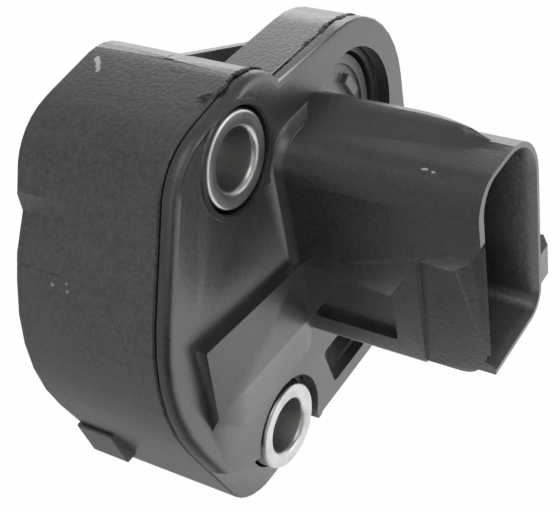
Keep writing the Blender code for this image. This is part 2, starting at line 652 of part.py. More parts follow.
def build_connector_cover(plastic):
    """The cover plate with its pad, its lip in the chamber and the plug socket."""
    outline = inset(drum_outline(), SHELL_DRAFT)
    turns = [math.radians(angle) for angle in (0.0, 18.0, 36.0, 54.0, 72.0, 90.0)]
    rim = COVER_RIM_RADIUS
    cover = loft(
        "connector_cover",
        [at_depth(outline, COVER_BACK)]
        + [
            at_depth(inset(outline, rim * (1.0 - math.cos(a))), BODY_DEPTH - rim + rim * math.sin(a))
            for a in turns
        ],
        plastic,
    )
    bevel = SHELL_FRONT_EDGE
    lobe = inset(lobe_outline(), SHELL_DRAFT)
    lobe_plate = loft(
        "lobe_plate",
        [
            at_depth(lobe, COVER_BACK),
            at_depth(lobe, BODY_DEPTH - bevel),
            at_depth(inset(lobe, bevel), BODY_DEPTH),
        ],
    )
    join(cover, lobe_plate)
    start_angle, end_angle = COVER_CUT_ANGLES
    steps = 12
    ear_cut = [
        (
            COVER_CUT_RADIUS * math.cos(start_angle + (end_angle - start_angle) * step / steps),
            COVER_CUT_RADIUS * math.sin(start_angle + (end_angle - start_angle) * step / steps),
        )
        for step in range(steps + 1)
    ]
    ear_cut += [
        (COVER_CUT_FAR_Y, -BUSHING_Z),
        (COVER_CUT_FAR_Y, LOBE_LOW_Z),
        (0.0120, LOBE_LOW_Z),
        (0.0120, -0.03),
        (-0.02, -0.03),
    ]
    cut(cover, prism("ear_cut", ear_cut, COVER_BACK - CUT_MARGIN, BODY_DEPTH + CUT_MARGIN))
    boss_hole = circle(EAR_CUT_RADIUS, (0.0, -BUSHING_Z))
    cut(cover, prism("boss_hole", boss_hole, COVER_BACK - CUT_MARGIN, BODY_DEPTH + CUT_MARGIN))
    cut(cover, prism("cover_window", window_outline(), COVER_BACK - CUT_MARGIN, BODY_DEPTH + CUT_MARGIN))
    recess = circle(TOWER_RECESS_RADIUS, TOWER_CENTRE)
    cut(cover, prism("tower_recess", recess, COVER_BACK - CUT_MARGIN, BODY_DEPTH + CUT_MARGIN))
    upper_hole = circle(BUSHING_RADIUS + FIT_GAP, (0.0, BUSHING_Z))
    cut(cover, prism("cover_bushing_hole", upper_hole, COVER_BACK - CUT_MARGIN, BODY_DEPTH + CUT_MARGIN))
    bushing_pad = [
        (BODY_DEPTH - 0.0004, BUSHING_RADIUS + FIT_GAP + 0.0001),
        (BODY_DEPTH + BUSHING_PAD_HEIGHT, BUSHING_RADIUS + FIT_GAP + 0.0001),
        (BODY_DEPTH + BUSHING_PAD_HEIGHT, BUSHING_PAD_RADIUS - 0.0002),
        (BODY_DEPTH - 0.0004, BUSHING_PAD_RADIUS),
    ]
    join(cover, turned("bushing_pad", bushing_pad, (0.0, BUSHING_Z)))
    share = (PAD_MIDDLE_Y - PAD_NEAR_Y) / (SOCKET_NEAR_Y - PAD_NEAR_Y)
    pad_sections = []
    for y, spread, fall, ramp_end in (
        (PAD_NEAR_Y, PAD_NEAR_SPREAD, 0.0, PAD_NEAR_RAMP_END_Z),
        (PAD_MIDDLE_Y, 0.0, PAD_TOP_FALL * share, PAD_RAMP_END_Z),
        (SOCKET_NEAR_Y + 0.0004, 0.0, PAD_TOP_FALL, PAD_RAMP_END_Z),
    ):
        pad_sections.append(
            [
                (BODY_DEPTH - 0.0003, y, PAD_TOP_Z - fall),
                (BODY_DEPTH + PAD_HEIGHT, y, PAD_TOP_Z - fall),
                (BODY_DEPTH + PAD_HEIGHT, y - spread, PAD_FLAT_END_Z - fall / 2),
                (BODY_DEPTH, y - spread, ramp_end),
                (BODY_DEPTH - 0.0003, y - spread, ramp_end),
            ]
        )
    join(cover, loft("pad", pad_sections))
    for shape in build_socket_shapes():
        join(cover, shape)
    lip_outer = inset(chamber_outline(), FIT_GAP)
    lip_front = COVER_BACK + 0.0002
    lip = prism("lip", lip_outer, COVER_BACK - LIP_LENGTH, lip_front)
    lip_inside = inset(lip_outer, LIP_WALL)
    cut(lip, prism("lip_inside", lip_inside, COVER_BACK - LIP_LENGTH - CUT_MARGIN, COVER_BACK))
    join(cover, lip)
    mouth = mouth_outline(0.0)
    lead_in = mouth_outline(MOUTH_LEAD_IN)
    socket = loft(
        "socket",
        [
            at_depth(mouth, SOCKET_FLOOR_X),
            at_depth(mouth, MOUTH_X - MOUTH_LEAD_LENGTH),
            at_depth(lead_in, MOUTH_X),
            at_depth(lead_in, MOUTH_X + CUT_MARGIN),
        ],
    )
    cut(cover, socket)
    relief = rounded(
        [
            (BODY_DEPTH + RELIEF_START, SOCKET_BOTTOM_Z - CUT_MARGIN, 0.0),
            (MOUTH_X + CUT_MARGIN, SOCKET_BOTTOM_Z - CUT_MARGIN, 0.0),
            (MOUTH_X + CUT_MARGIN, RELIEF_TOP_Z + RELIEF_RISE, 0.0),
            (MOUTH_X - 0.0010, RELIEF_TOP_Z + 0.0010, 0.0020),
            (MOUTH_X - 0.0028, RELIEF_TOP_Z - 0.0004, 0.0012),
            (BODY_DEPTH + RELIEF_START, RELIEF_TOP_Z, 0.0008),
        ]
    )
    cut_start = MOUTH_X - MOUTH_CUT_LENGTH
    mouth_cut = [(cut_start, SOCKET_BOTTOM_Z - CUT_MARGIN)]
    mouth_cut += [
        (
            cut_start + MOUTH_CUT_LENGTH * 0.83 * math.sin(math.pi / 2 * step / 6),
            SOCKET_BOTTOM_Z + MOUTH_CUT_HEIGHT * (1.0 - math.cos(math.pi / 2 * step / 6)),
        )
        for step in range(7)
    ]
    mouth_cut += [
        (MOUTH_X + CUT_MARGIN, SOCKET_BOTTOM_Z + MOUTH_CUT_HEIGHT),
        (MOUTH_X + CUT_MARGIN, SOCKET_BOTTOM_Z - CUT_MARGIN),
    ]
    near = SOCKET_NEAR_Y
    cut(cover, side_prism("mouth_cut", mouth_cut, near - 0.002, SOCKET_INNER_NEAR_Y + 0.0002))
    cut(cover, side_prism("side_relief", relief, near - 0.002, near + SIDE_RELIEF))
    pocket = rounded(
        [
            (BODY_DEPTH + POCKET_START + POCKET_SLANT, POCKET_TOP_Z, 0.0003),
            (BODY_DEPTH + POCKET_START, POCKET_BOTTOM_Z, 0.0003),
            (BODY_DEPTH + POCKET_END, POCKET_BOTTOM_Z, 0.0003),
            (BODY_DEPTH + POCKET_END, POCKET_TOP_Z, 0.0003),
        ]
    )
    cut(cover, side_prism("pedestal_pocket", pocket, near - 0.004, near + POCKET_DEPTH))
    for index in (-1, 0, 1):
        blade, run, foot = terminal_shapes("terminal_slot_%d" % (index + 2), index, FIT_GAP)
        for shape in (blade, run, foot):
            cut(cover, shape)
    return cover


def box(name, start, end, finish=None):
    """A rectangular block between two opposite corners."""
    near_y, far_y = sorted((start[1], end[1]))
    low_z, high_z = sorted((start[2], end[2]))
    outline = [(near_y, high_z), (near_y, low_z), (far_y, low_z), (far_y, high_z)]
    return prism(name, outline, min(start[0], end[0]), max(start[0], end[0]), finish)


def terminal_shapes(name, index, grow=0.0, finish=None):
    """A terminal's blade, the run inside the cover and the foot over the board, grown evenly."""
    half_thickness = TERMINAL_THICKNESS / 2 + grow
    half_width = TERMINAL_WIDTH / 2 + grow
    z = SOCKET_MIDDLE_Z + index * TERMINAL_PITCH
    foot_z = TERMINAL_FOOT_Z + index * TERMINAL_FOOT_PITCH
    run_back = BODY_DEPTH + TERMINAL_RUN_HEIGHT - grow
    run_front = BODY_DEPTH + TERMINAL_RUN_HEIGHT + TERMINAL_THICKNESS + grow
    tip = MOUTH_X - TERMINAL_RECESS
    section = [
        (SOCKET_MIDDLE_Y - half_thickness, z + half_width),
        (SOCKET_MIDDLE_Y - half_thickness, z - half_width),
        (SOCKET_MIDDLE_Y + half_thickness, z - half_width),
        (SOCKET_MIDDLE_Y + half_thickness, z + half_width),
    ]
    point = [
        (SOCKET_MIDDLE_Y + (y - SOCKET_MIDDLE_Y) * 0.35, z + (height - z) * 0.7) for y, height in section
    ]
    if grow > 0.0:
        blade = prism(name + "_blade", section, run_back, SOCKET_FLOOR_X + CUT_MARGIN)
    else:
        blade = loft(
            name,
            [at_depth(section, run_back), at_depth(section, tip - 0.0010), at_depth(point, tip)],
            finish,
        )
    lean = math.hypot(1.0, (z - foot_z) / (SOCKET_MIDDLE_Y - TERMINAL_FOOT_Y))
    half_run = TERMINAL_FOOT_WIDTH / 2 + grow * lean
    start_y = SOCKET_MIDDLE_Y - TERMINAL_THICKNESS / 2 + 0.0003
    end_y = TERMINAL_FOOT_Y - TERMINAL_THICKNESS / 2 + 0.0001 - grow
    run = prism(
        name + "_run",
        [
            (start_y, z + half_run),
            (end_y, foot_z + half_run),
            (end_y, foot_z - half_run),
            (start_y, z - half_run),
        ],
        run_back,
        run_front,
    )
    foot = box(
        name + "_foot",
        (
            BOARD_FRONT + FIT_GAP - 10 * grow,
            TERMINAL_FOOT_Y - half_thickness,
            foot_z - TERMINAL_FOOT_WIDTH / 2 - grow,
        ),
        (
            run_front - TERMINAL_THICKNESS / 4,
            TERMINAL_FOOT_Y + half_thickness,
            foot_z + TERMINAL_FOOT_WIDTH / 2 + grow,
        ),
    )
    return blade, run, foot


def build_terminal(name, index, metal):
    """A blade with a tapered tip, joined to its run and its foot."""
    blade, run, foot = terminal_shapes(name, index, 0.0, metal)
    join(blade, run)
    join(blade, foot)
    return blade


def build_bushing(name, height, metal):
    """A rolled sleeve with small edges at both ends."""
    edge = BUSHING_EDGE
    profile = [
        (edge, BUSHING_RADIUS),
        (0.0, BUSHING_RADIUS - edge),
        (0.0, BUSHING_BORE + edge),
        (edge, BUSHING_BORE),
        (BODY_DEPTH - edge, BUSHING_BORE),
        (BODY_DEPTH, BUSHING_BORE + edge),
        (BODY_DEPTH, BUSHING_RADIUS - edge),
        (BODY_DEPTH - edge, BUSHING_RADIUS),
    ]
    return turned(name, profile, (0.0, height), metal)


def build_tower_plug(plastic):
    """The disc in the tower's recess, with a raised rim and a driver slot in its boss."""
    front = BODY_DEPTH - PLUG_SEAT_DEPTH
    back = front - PLUG_THICKNESS
    plug = prism("tower_plug", circle(PLUG_RADIUS, TOWER_CENTRE), back, front, plastic)
    dish = circle(PLUG_RADIUS - PLUG_RIM, TOWER_CENTRE)
    dish_floor = front - PLUG_DISH
    cut(plug, prism("plug_dish", dish, dish_floor, front + PLUG_THICKNESS))
    boss = circle(PLUG_BOSS_RADIUS, TOWER_CENTRE, SMALL_SEGMENTS)
    join(plug, prism("plug_boss", boss, back + PLUG_DISH, front))
    y, z = TOWER_CENTRE
    reach = PLUG_BOSS_RADIUS + PLUG_DISH
    half = PLUG_SLOT_WIDTH / 2
    slot = [(y - reach, z - half), (y + reach, z - half), (y + reach, z + half), (y - reach, z + half)]
    cut(plug, prism("plug_slot", slot, dish_floor - PLUG_DISH / 2, front + PLUG_THICKNESS))
    for index, angle in enumerate(PLUG_TAB_ANGLES):
        outward = Vector((math.cos(angle), math.sin(angle)))
        along = Vector((-outward.y, outward.x)) * PLUG_TAB_LENGTH / 2
        middle = Vector(TOWER_CENTRE) + outward * PLUG_TAB_RADIUS
        step = outward * PLUG_TAB_WIDTH / 2
        corners = (middle - step - along, middle - step + along, middle + step + along, middle + step - along)
        tab = [tuple(corner) for corner in corners]
        join(plug, prism("plug_tab_%d" % index, tab, back + PLUG_DISH, front + PLUG_TAB_RISE))
    return plug


def build_rotor(plastic, pivot):
    """The hub that turns in the bush, with its flange, spindle and the bore for the insert."""
    front = CARRIER_X + CARRIER_THICKNESS + 0.0004
    groove_x = HUB_START + 0.0005
    groove_radius = HUB_RADIUS - RING_GROOVE_DEPTH
    bore = SHAFT_BORE + INSERT_WALL + RUNNING_GAP
    bore_end = ROTOR_FLANGE_X + 0.0002
    hub = turned(
        "rotor_hub",
        [
            (HUB_START, HUB_RADIUS),
            (HUB_START, bore),
            (bore_end, bore),
            (bore_end, 0.0008),
            (front, 0.0008),
            (front, SPINDLE_RADIUS),
            (CARRIER_X - RUNNING_GAP, SPINDLE_RADIUS),
            (CARRIER_X - RUNNING_GAP, ROTOR_FLANGE_RADIUS),
            (ROTOR_FLANGE_X, ROTOR_FLANGE_RADIUS),
            (ROTOR_FLANGE_X, HUB_RADIUS),
            (groove_x + RING_THICKNESS + 0.0002, HUB_RADIUS),
            (groove_x + RING_THICKNESS + 0.0002, groove_radius),
            (groove_x, groove_radius),
            (groove_x, HUB_RADIUS),
        ],
        finish=plastic,
    )
    hub.parent = pivot
    return hub


def build_insert(metal, pivot):
    """The steel sleeve that takes the throttle shaft: round outside, with a flat inside."""
    start = HUB_START + 0.0002
    end = ROTOR_FLANGE_X - 0.0002
    sleeve = prism("shaft_insert", circle(SHAFT_BORE + INSERT_WALL), start, end, metal)
    flat_angle = math.acos(SHAFT_FLAT / SHAFT_BORE)
    steps = 28
    bore = []
    for step in range(steps + 1):
        angle = flat_angle + (2 * math.pi - 2 * flat_angle) * step / steps
        bore.append((SHAFT_BORE * math.cos(angle), SHAFT_BORE * math.sin(angle)))
    cut(sleeve, prism("shaft_bore", bore, start - CUT_MARGIN, end + CUT_MARGIN))
    sleeve.parent = pivot
    return sleeve


def build_ring(name, x, thickness, inner, outer, finish, pivot=None):
    """A plain flat ring about the rotor's axis."""
    profile = [(x, inner), (x, outer), (x + thickness, outer), (x + thickness, inner)]
    ring = turned(name, profile, finish=finish)
    if pivot is not None:
        ring.parent = pivot
    return ring


def build_retaining_ring(metal, pivot):
    """The open snap ring in the hub's groove, behind the bush."""
    inner = HUB_RADIUS - RING_GROOVE_DEPTH + 0.0001
    outer = inner + RING_WIDTH
    start = HUB_START + 0.0006
    gap = math.radians(34.0)
    steps = 34
    section = []
    for radius, order in ((outer, range(steps + 1)), (inner, range(steps, -1, -1))):
        for step in order:
            angle = gap / 2 + (2 * math.pi - gap) * step / steps
            section.append((radius * math.cos(angle), radius * math.sin(angle)))
    ring = prism("retaining_ring", section, start, start + RING_THICKNESS, metal)
    ring.parent = pivot
    return ring


def build_bearing_bush(metal):
    """The flanged bush pressed into the floor."""
    back = HUB_START + 0.0005 + RING_THICKNESS + 0.0005
    flange_front = FLANGE_SEAT_X + BUSH_FLANGE_THICKNESS
    profile = [
        (back, BUSH_INNER),
        (back, BUSH_OUTER),
        (FLANGE_SEAT_X, BUSH_OUTER),
        (FLANGE_SEAT_X, BUSH_FLANGE_RADIUS),
        (flange_front, BUSH_FLANGE_RADIUS),
        (flange_front, BUSH_INNER),
    ]
    return turned("bearing_bush", profile, finish=metal)


def build_return_spring(metal):
    """The torsion spring round the hub, one closed coil of square-cornered wire."""
    mean = BUSH_FLANGE_RADIUS + 0.0003 + SPRING_WIRE / 2
    start_x = WASHER_X + SPRING_WIRE / 2
    steps = int(SPRING_TURNS * 24)
    shape = bmesh.new()
    rings = []
    for step in range(steps + 1):
        angle = 2 * math.pi * step / 24
        x = start_x + SPRING_PITCH * step / 24
        outward = Vector((0.0, math.cos(angle), math.sin(angle)))
        centre = Vector((x, 0.0, 0.0)) + outward * mean
        ring = []
        for side in range(8):
            turn = 2 * math.pi * side / 8
            offset = outward * math.cos(turn) + Vector((1.0, 0.0, 0.0)) * math.sin(turn)
            ring.append(shape.verts.new(centre + offset * SPRING_WIRE / 2))
        rings.append(ring)
    for here, there in zip(rings, rings[1:]):
        for side in range(8):
            following = (side + 1) % 8
            shape.faces.new((here[side], here[following], there[following], there[side]))
    shape.faces.new(rings[0])
    shape.faces.new(rings[-1])
    return finish_mesh("return_spring", shape, metal)


def build_wiper_carrier(plastic, pivot):
    """The disc that carries the brushes, with the hole for the hub's spindle."""
    disc = prism("wiper_carrier", circle(CARRIER_RADIUS), CARRIER_X, CARRIER_X + CARRIER_THICKNESS, plastic)
    hole = circle(SPINDLE_RADIUS + RUNNING_GAP, segments=SMALL_SEGMENTS)
    cut(disc, prism("spindle_hole", hole, CARRIER_X - CUT_MARGIN, CARRIER_X + 0.002))
    disc.parent = pivot
    return disc


def build_brush(name, radius, metal, pivot):
    """A bent strip with three fingers that reach up to its track."""
    base = CARRIER_X + CARRIER_THICKNESS + RUNNING_GAP
    tip = TRACK_BACK - RUNNING_GAP
    strip = BRUSH_STRIP
    width = BRUSH_WIDTH
    profile = [
        (base, -BRUSH_FOOT),
        (base + strip, -BRUSH_FOOT),
        (base + strip, -BRUSH_BEND),
        (tip, BRUSH_FOOT),
        (tip, BRUSH_FOOT + BRUSH_TIP),
        (tip - strip, BRUSH_FOOT + BRUSH_TIP),
        (base, BRUSH_BEND),
    ]
    brush = loft(
        name,
        [[(x, y, radius - width / 2) for x, y in profile], [(x, y, radius + width / 2) for x, y in profile]],
        metal,
    )
    for index in (-1, 1):
        middle = radius + index * width / 5
        slit = [
            (base - CUT_MARGIN, middle - BRUSH_SLIT / 2),
            (tip + CUT_MARGIN, middle - BRUSH_SLIT / 2),
            (tip + CUT_MARGIN, middle + BRUSH_SLIT / 2),
            (base - CUT_MARGIN, middle + BRUSH_SLIT / 2),
        ]
        slit_end = BRUSH_FOOT + BRUSH_TIP + CUT_MARGIN
        cut(brush, side_prism("%s_slit_%d" % (name, index + 2), slit, BRUSH_SLIT_START, slit_end))
    brush.parent = pivot
    return brush


def build_board(finish):
    """The element board, held in the cover's lip."""
    outline = inset(chamber_outline(), LIP_WALL + 2 * FIT_GAP)
    return prism("element_board", outline, BOARD_BACK, BOARD_FRONT, finish)


def build_track(name, radius, finish):
    """An arc of film on the board's back."""
    steps = 26
    section = []
    inner, outer = radius - TRACK_WIDTH / 2, radius + TRACK_WIDTH / 2
    for edge, order in ((outer, range(steps + 1)), (inner, range(steps, -1, -1))):
        for step in order:
            angle = math.pi / 2 - TRACK_SWEEP / 2 + TRACK_SWEEP * step / steps
            section.append((edge * math.cos(angle), edge * math.sin(angle)))
    return prism(name, section, TRACK_BACK, TRACK_BACK + TRACK_THICKNESS, finish)


def main():
    """Build every piece in the order in which the sensor is put together."""
    clear_scene()
    shell_black = material("moulded_black", (0.035, 0.036, 0.038), 0.45)
    inner_black = material("inner_black", (0.050, 0.050, 0.052), 0.55)
    steel = material("bushing_steel", (0.62, 0.62, 0.60), 0.30, 1.0)
    brass = material("terminal_brass", (0.70, 0.55, 0.30), 0.32, 1.0)
    bronze = material("bush_bronze", (0.55, 0.38, 0.22), 0.45, 1.0)
    spring_steel = material("spring_steel", (0.45, 0.45, 0.46), 0.35, 1.0)
    rubber = material("seal_rubber", (0.02, 0.02, 0.02), 0.80)
    board_white = material("board_ceramic", (0.80, 0.78, 0.72), 0.60)
    film = material("carbon_film", (0.03, 0.03, 0.03), 0.50)

    pivot = bpy.data.objects.new("rotor_axis", None)
    bpy.context.collection.objects.link(pivot)

    build_drum_housing(shell_black)
    build_connector_cover(shell_black)
    build_bushing("upper_bushing", BUSHING_Z, steel)
    build_bushing("lower_bushing", -BUSHING_Z, steel)
    build_tower_plug(inner_black)
    build_ring(
        "mounting_seal", 0.0001, SEAL_DEPTH - 0.0001, SEAL_OUTER_RADIUS - SEAL_WIDTH, SEAL_OUTER_RADIUS, rubber
    )
    build_bearing_bush(bronze)
    build_rotor(inner_black, pivot)
    build_insert(steel, pivot)
    build_retaining_ring(spring_steel, pivot)
    build_ring(
        "thrust_washer", WASHER_X, WASHER_THICKNESS, BUSH_INNER, WASHER_RADIUS, bronze, pivot
    )
    build_return_spring(spring_steel)
    build_wiper_carrier(inner_black, pivot)
    build_brush("outer_brush", OUTER_TRACK_RADIUS, brass, pivot)
    build_brush("inner_brush", INNER_TRACK_RADIUS, brass, pivot)
    build_board(board_white)
    build_track("resistive_track", OUTER_TRACK_RADIUS, film)
    build_track("collector_track", INNER_TRACK_RADIUS, film)
    names = ("supply_terminal", "signal_terminal", "ground_terminal")
    for index, name in enumerate(names):
        build_terminal(name, index - 1, brass)


main()
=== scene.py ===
"""A throttle position sensor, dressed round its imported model.

The drum housing and the connector cover are satin black mouldings with a fine spark-eroded grain.
Two steel sleeves take the screws, a disc closes the side tower, three tin-plated blades stand in the
plug socket, and a rotor with a steel insert turns in the back. All lengths are in metres.
"""

import logging
import math
from dataclasses import dataclass, field
from enum import Enum

import bmesh
import bpy
import numpy as np
from mathutils import Matrix, Vector


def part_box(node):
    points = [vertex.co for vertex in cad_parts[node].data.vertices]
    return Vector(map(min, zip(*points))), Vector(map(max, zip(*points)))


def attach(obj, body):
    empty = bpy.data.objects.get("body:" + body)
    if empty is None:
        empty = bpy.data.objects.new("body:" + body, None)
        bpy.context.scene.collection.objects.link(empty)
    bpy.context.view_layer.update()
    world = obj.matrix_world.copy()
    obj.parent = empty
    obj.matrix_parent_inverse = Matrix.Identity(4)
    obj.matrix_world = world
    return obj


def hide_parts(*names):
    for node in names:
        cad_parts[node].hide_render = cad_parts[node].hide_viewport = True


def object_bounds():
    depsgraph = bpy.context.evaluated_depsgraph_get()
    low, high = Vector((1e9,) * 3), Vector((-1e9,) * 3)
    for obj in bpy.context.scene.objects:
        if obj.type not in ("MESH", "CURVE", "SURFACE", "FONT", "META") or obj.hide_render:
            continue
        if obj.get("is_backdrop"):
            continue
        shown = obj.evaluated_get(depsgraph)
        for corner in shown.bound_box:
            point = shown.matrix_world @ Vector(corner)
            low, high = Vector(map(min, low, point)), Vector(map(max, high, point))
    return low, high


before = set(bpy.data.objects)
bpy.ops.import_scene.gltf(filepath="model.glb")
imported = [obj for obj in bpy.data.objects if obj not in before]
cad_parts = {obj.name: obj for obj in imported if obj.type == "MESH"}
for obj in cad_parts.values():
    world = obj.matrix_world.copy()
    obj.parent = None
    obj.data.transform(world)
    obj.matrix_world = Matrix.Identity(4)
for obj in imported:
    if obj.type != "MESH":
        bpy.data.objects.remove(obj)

MM = 0.001
# Points closer than this are one
MERGE = 1e-7
# Guards against a division by zero
TINY = 1e-9
NUDGE = 1e-12
# The bends below which faces are one plane, and above which an edge of a new piece stays sharp
IN_PLANE = math.radians(0.6)
SHARP = math.radians(32.0)

LOG = logging.getLogger("sensor")
Array = np.ndarray
Piece = bpy.types.Object
Material = bpy.types.Material
Tree = bpy.types.NodeTree
Socket = bpy.types.NodeSocket
Pair = tuple[float, float]
Triple = tuple[float, float, float]
Quad = tuple[float, float, float, float]


class Body(Enum):
    """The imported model's two bodies."""

    SENSOR = "sensor_body"
    ROTOR = "rotor"


class Slot(Enum):
    """The record's material slots."""

    MOULDED = "moulded_black"
    INNER = "inner_black"
    STEEL = "bushing_steel"
    SPRING = "spring_steel"
    BLADE = "terminal_brass"
    BRONZE = "bush_bronze"
    RUBBER = "seal_rubber"
    BOARD = "board_ceramic"
    FILM = "carbon_film"


def linear(code: str) -> Quad:
    """Turns an sRGB hex colour into a linear colour with full opacity.

    Args:
        code: The colour as "#rrggbb".

    Returns:
        Red, green, blue and alpha.
    """
    shares = [int(code[i : i + 2], 16) / 255 for i in (1, 3, 5)]
    red, green, blue = (s / 12.92 if s <= 0.04045 else ((s + 0.055) / 1.055) ** 2.4 for s in shares)
    return red, green, blue, 1.0


def add_node(tree: Tree, kind: str, inputs: dict | None = None, **settings: object) -> bpy.types.Node:
    """Adds a node with its settings, its input values and its links.

    Args:
        tree: The node tree that it goes into.
        kind: The node's type name.
        inputs: Values or output sockets by the input's name or number.
        **settings: The node's own attributes.

    Returns:
        The new node.
    """
    node = tree.nodes.new(kind)
    for name, value in settings.items():
        setattr(node, name, value)
    for key, value in (inputs or {}).items():
        socket = node.inputs[key]
        if isinstance(value, Socket):
            tree.links.new(value, socket)
        else:
            socket.default_value = value
    return node


def new_material(name: str) -> tuple[Material, Tree]:
    """Makes an empty node material.

    Args:
        name: The material's name.

    Returns:
        The material and its cleared node tree.
    """
    made = bpy.data.materials.new(name)
    made.use_nodes = True
    made.node_tree.nodes.clear()
    return made, made.node_tree


def blend_colours(tree: Tree, share: object, low: object, high: object) -> Socket:
    """Mixes two colours by a share.

    Args:
        tree: The node tree.
        share: A number or an output socket from 0 to 1.
        low: The colour at 0, a value or an output socket.
        high: The colour at 1, likewise.

    Returns:
        The mixed colour's socket.
    """
    node = add_node(tree, "ShaderNodeMix", {0: share, 6: low, 7: high}, data_type="RGBA")
    return node.outputs[2]


def ramp(tree: Tree, value: Socket, start: float, end: float, low: float, high: float) -> Socket:
    """Maps a value from one range to another, with its ends held.

    Args:
        tree: The node tree.
        value: The socket that is mapped.
        start: The value that becomes low.
        end: The value that becomes high.
        low: The result at start.
        high: The result at end.

    Returns:
        The mapped value's socket.
    """
    inputs = {"Value": value, "From Min": start, "From Max": end, "To Min": low, "To Max": high}
    return add_node(tree, "ShaderNodeMapRange", inputs, clamp=True).outputs[0]


def arithmetic(tree: Tree, operation: str, *values: object) -> Socket:
    """One step of arithmetic on sockets or numbers.

    Args:
        tree: The node tree.
        operation: The Math node's operation.
        *values: Numbers or output sockets.

    Returns:
        The result's socket.
    """
    return add_node(tree, "ShaderNodeMath", dict(enumerate(values)), operation=operation).outputs[0]


def noise(tree: Tree, place: Socket, size_mm: float, detail: float, roughness: float = 0.5) -> Socket:
    """A noise over the surface.

    Args:
        tree: The node tree.
        place: The point's socket.
        size_mm: The size of its patches in millimetres.
        detail: How many finer octaves it has.
        roughness: How strong those are.

    Returns:
        The noise's socket, round 0.5.
    """
    inputs = {"Vector": place, "Scale": 1 / (size_mm * MM), "Detail": detail, "Roughness": roughness}
    return add_node(tree, "ShaderNodeTexNoise", inputs).outputs["Fac"]


def bump(tree: Tree, height: Socket, strength: float, depth_mm: float) -> Socket:
    """A bumped normal.

    Args:
        tree: The node tree.
        height: The height's socket.
        strength: The bump's strength.
        depth_mm: The depth in millimetres that a height of 1 stands for.

    Returns:
        The normal's socket.
    """
    inputs = {"Height": height, "Strength": strength, "Distance": depth_mm * MM}
    return add_node(tree, "ShaderNodeBump", inputs).outputs[0]


def show(tree: Tree, inputs: dict) -> None:
    """Ends a material's tree with a Principled shader and the output.

    Args:
        tree: The node tree.
        inputs: The shader's values or output sockets by name.
    """
    shader = add_node(tree, "ShaderNodeBsdfPrincipled", inputs)
    add_node(tree, "ShaderNodeOutputMaterial", {"Surface": shader.outputs[0]})


@dataclass(frozen=True)
class Mark:
    """A small pale mark on the surface: a nick, a scratch, a speck of dust, or a painted highlight along an
    edge.

    Attributes:
        centre: Its middle.
        reach: Half its size along its own three axes.
        strength: How pale it is, from 0 to 1.
        turn: How far its axes are turned about X, Y and Z.
    """

    centre: Triple
    reach: Triple
    strength: float
    turn: Triple = (0.0, 0.0, 0.0)


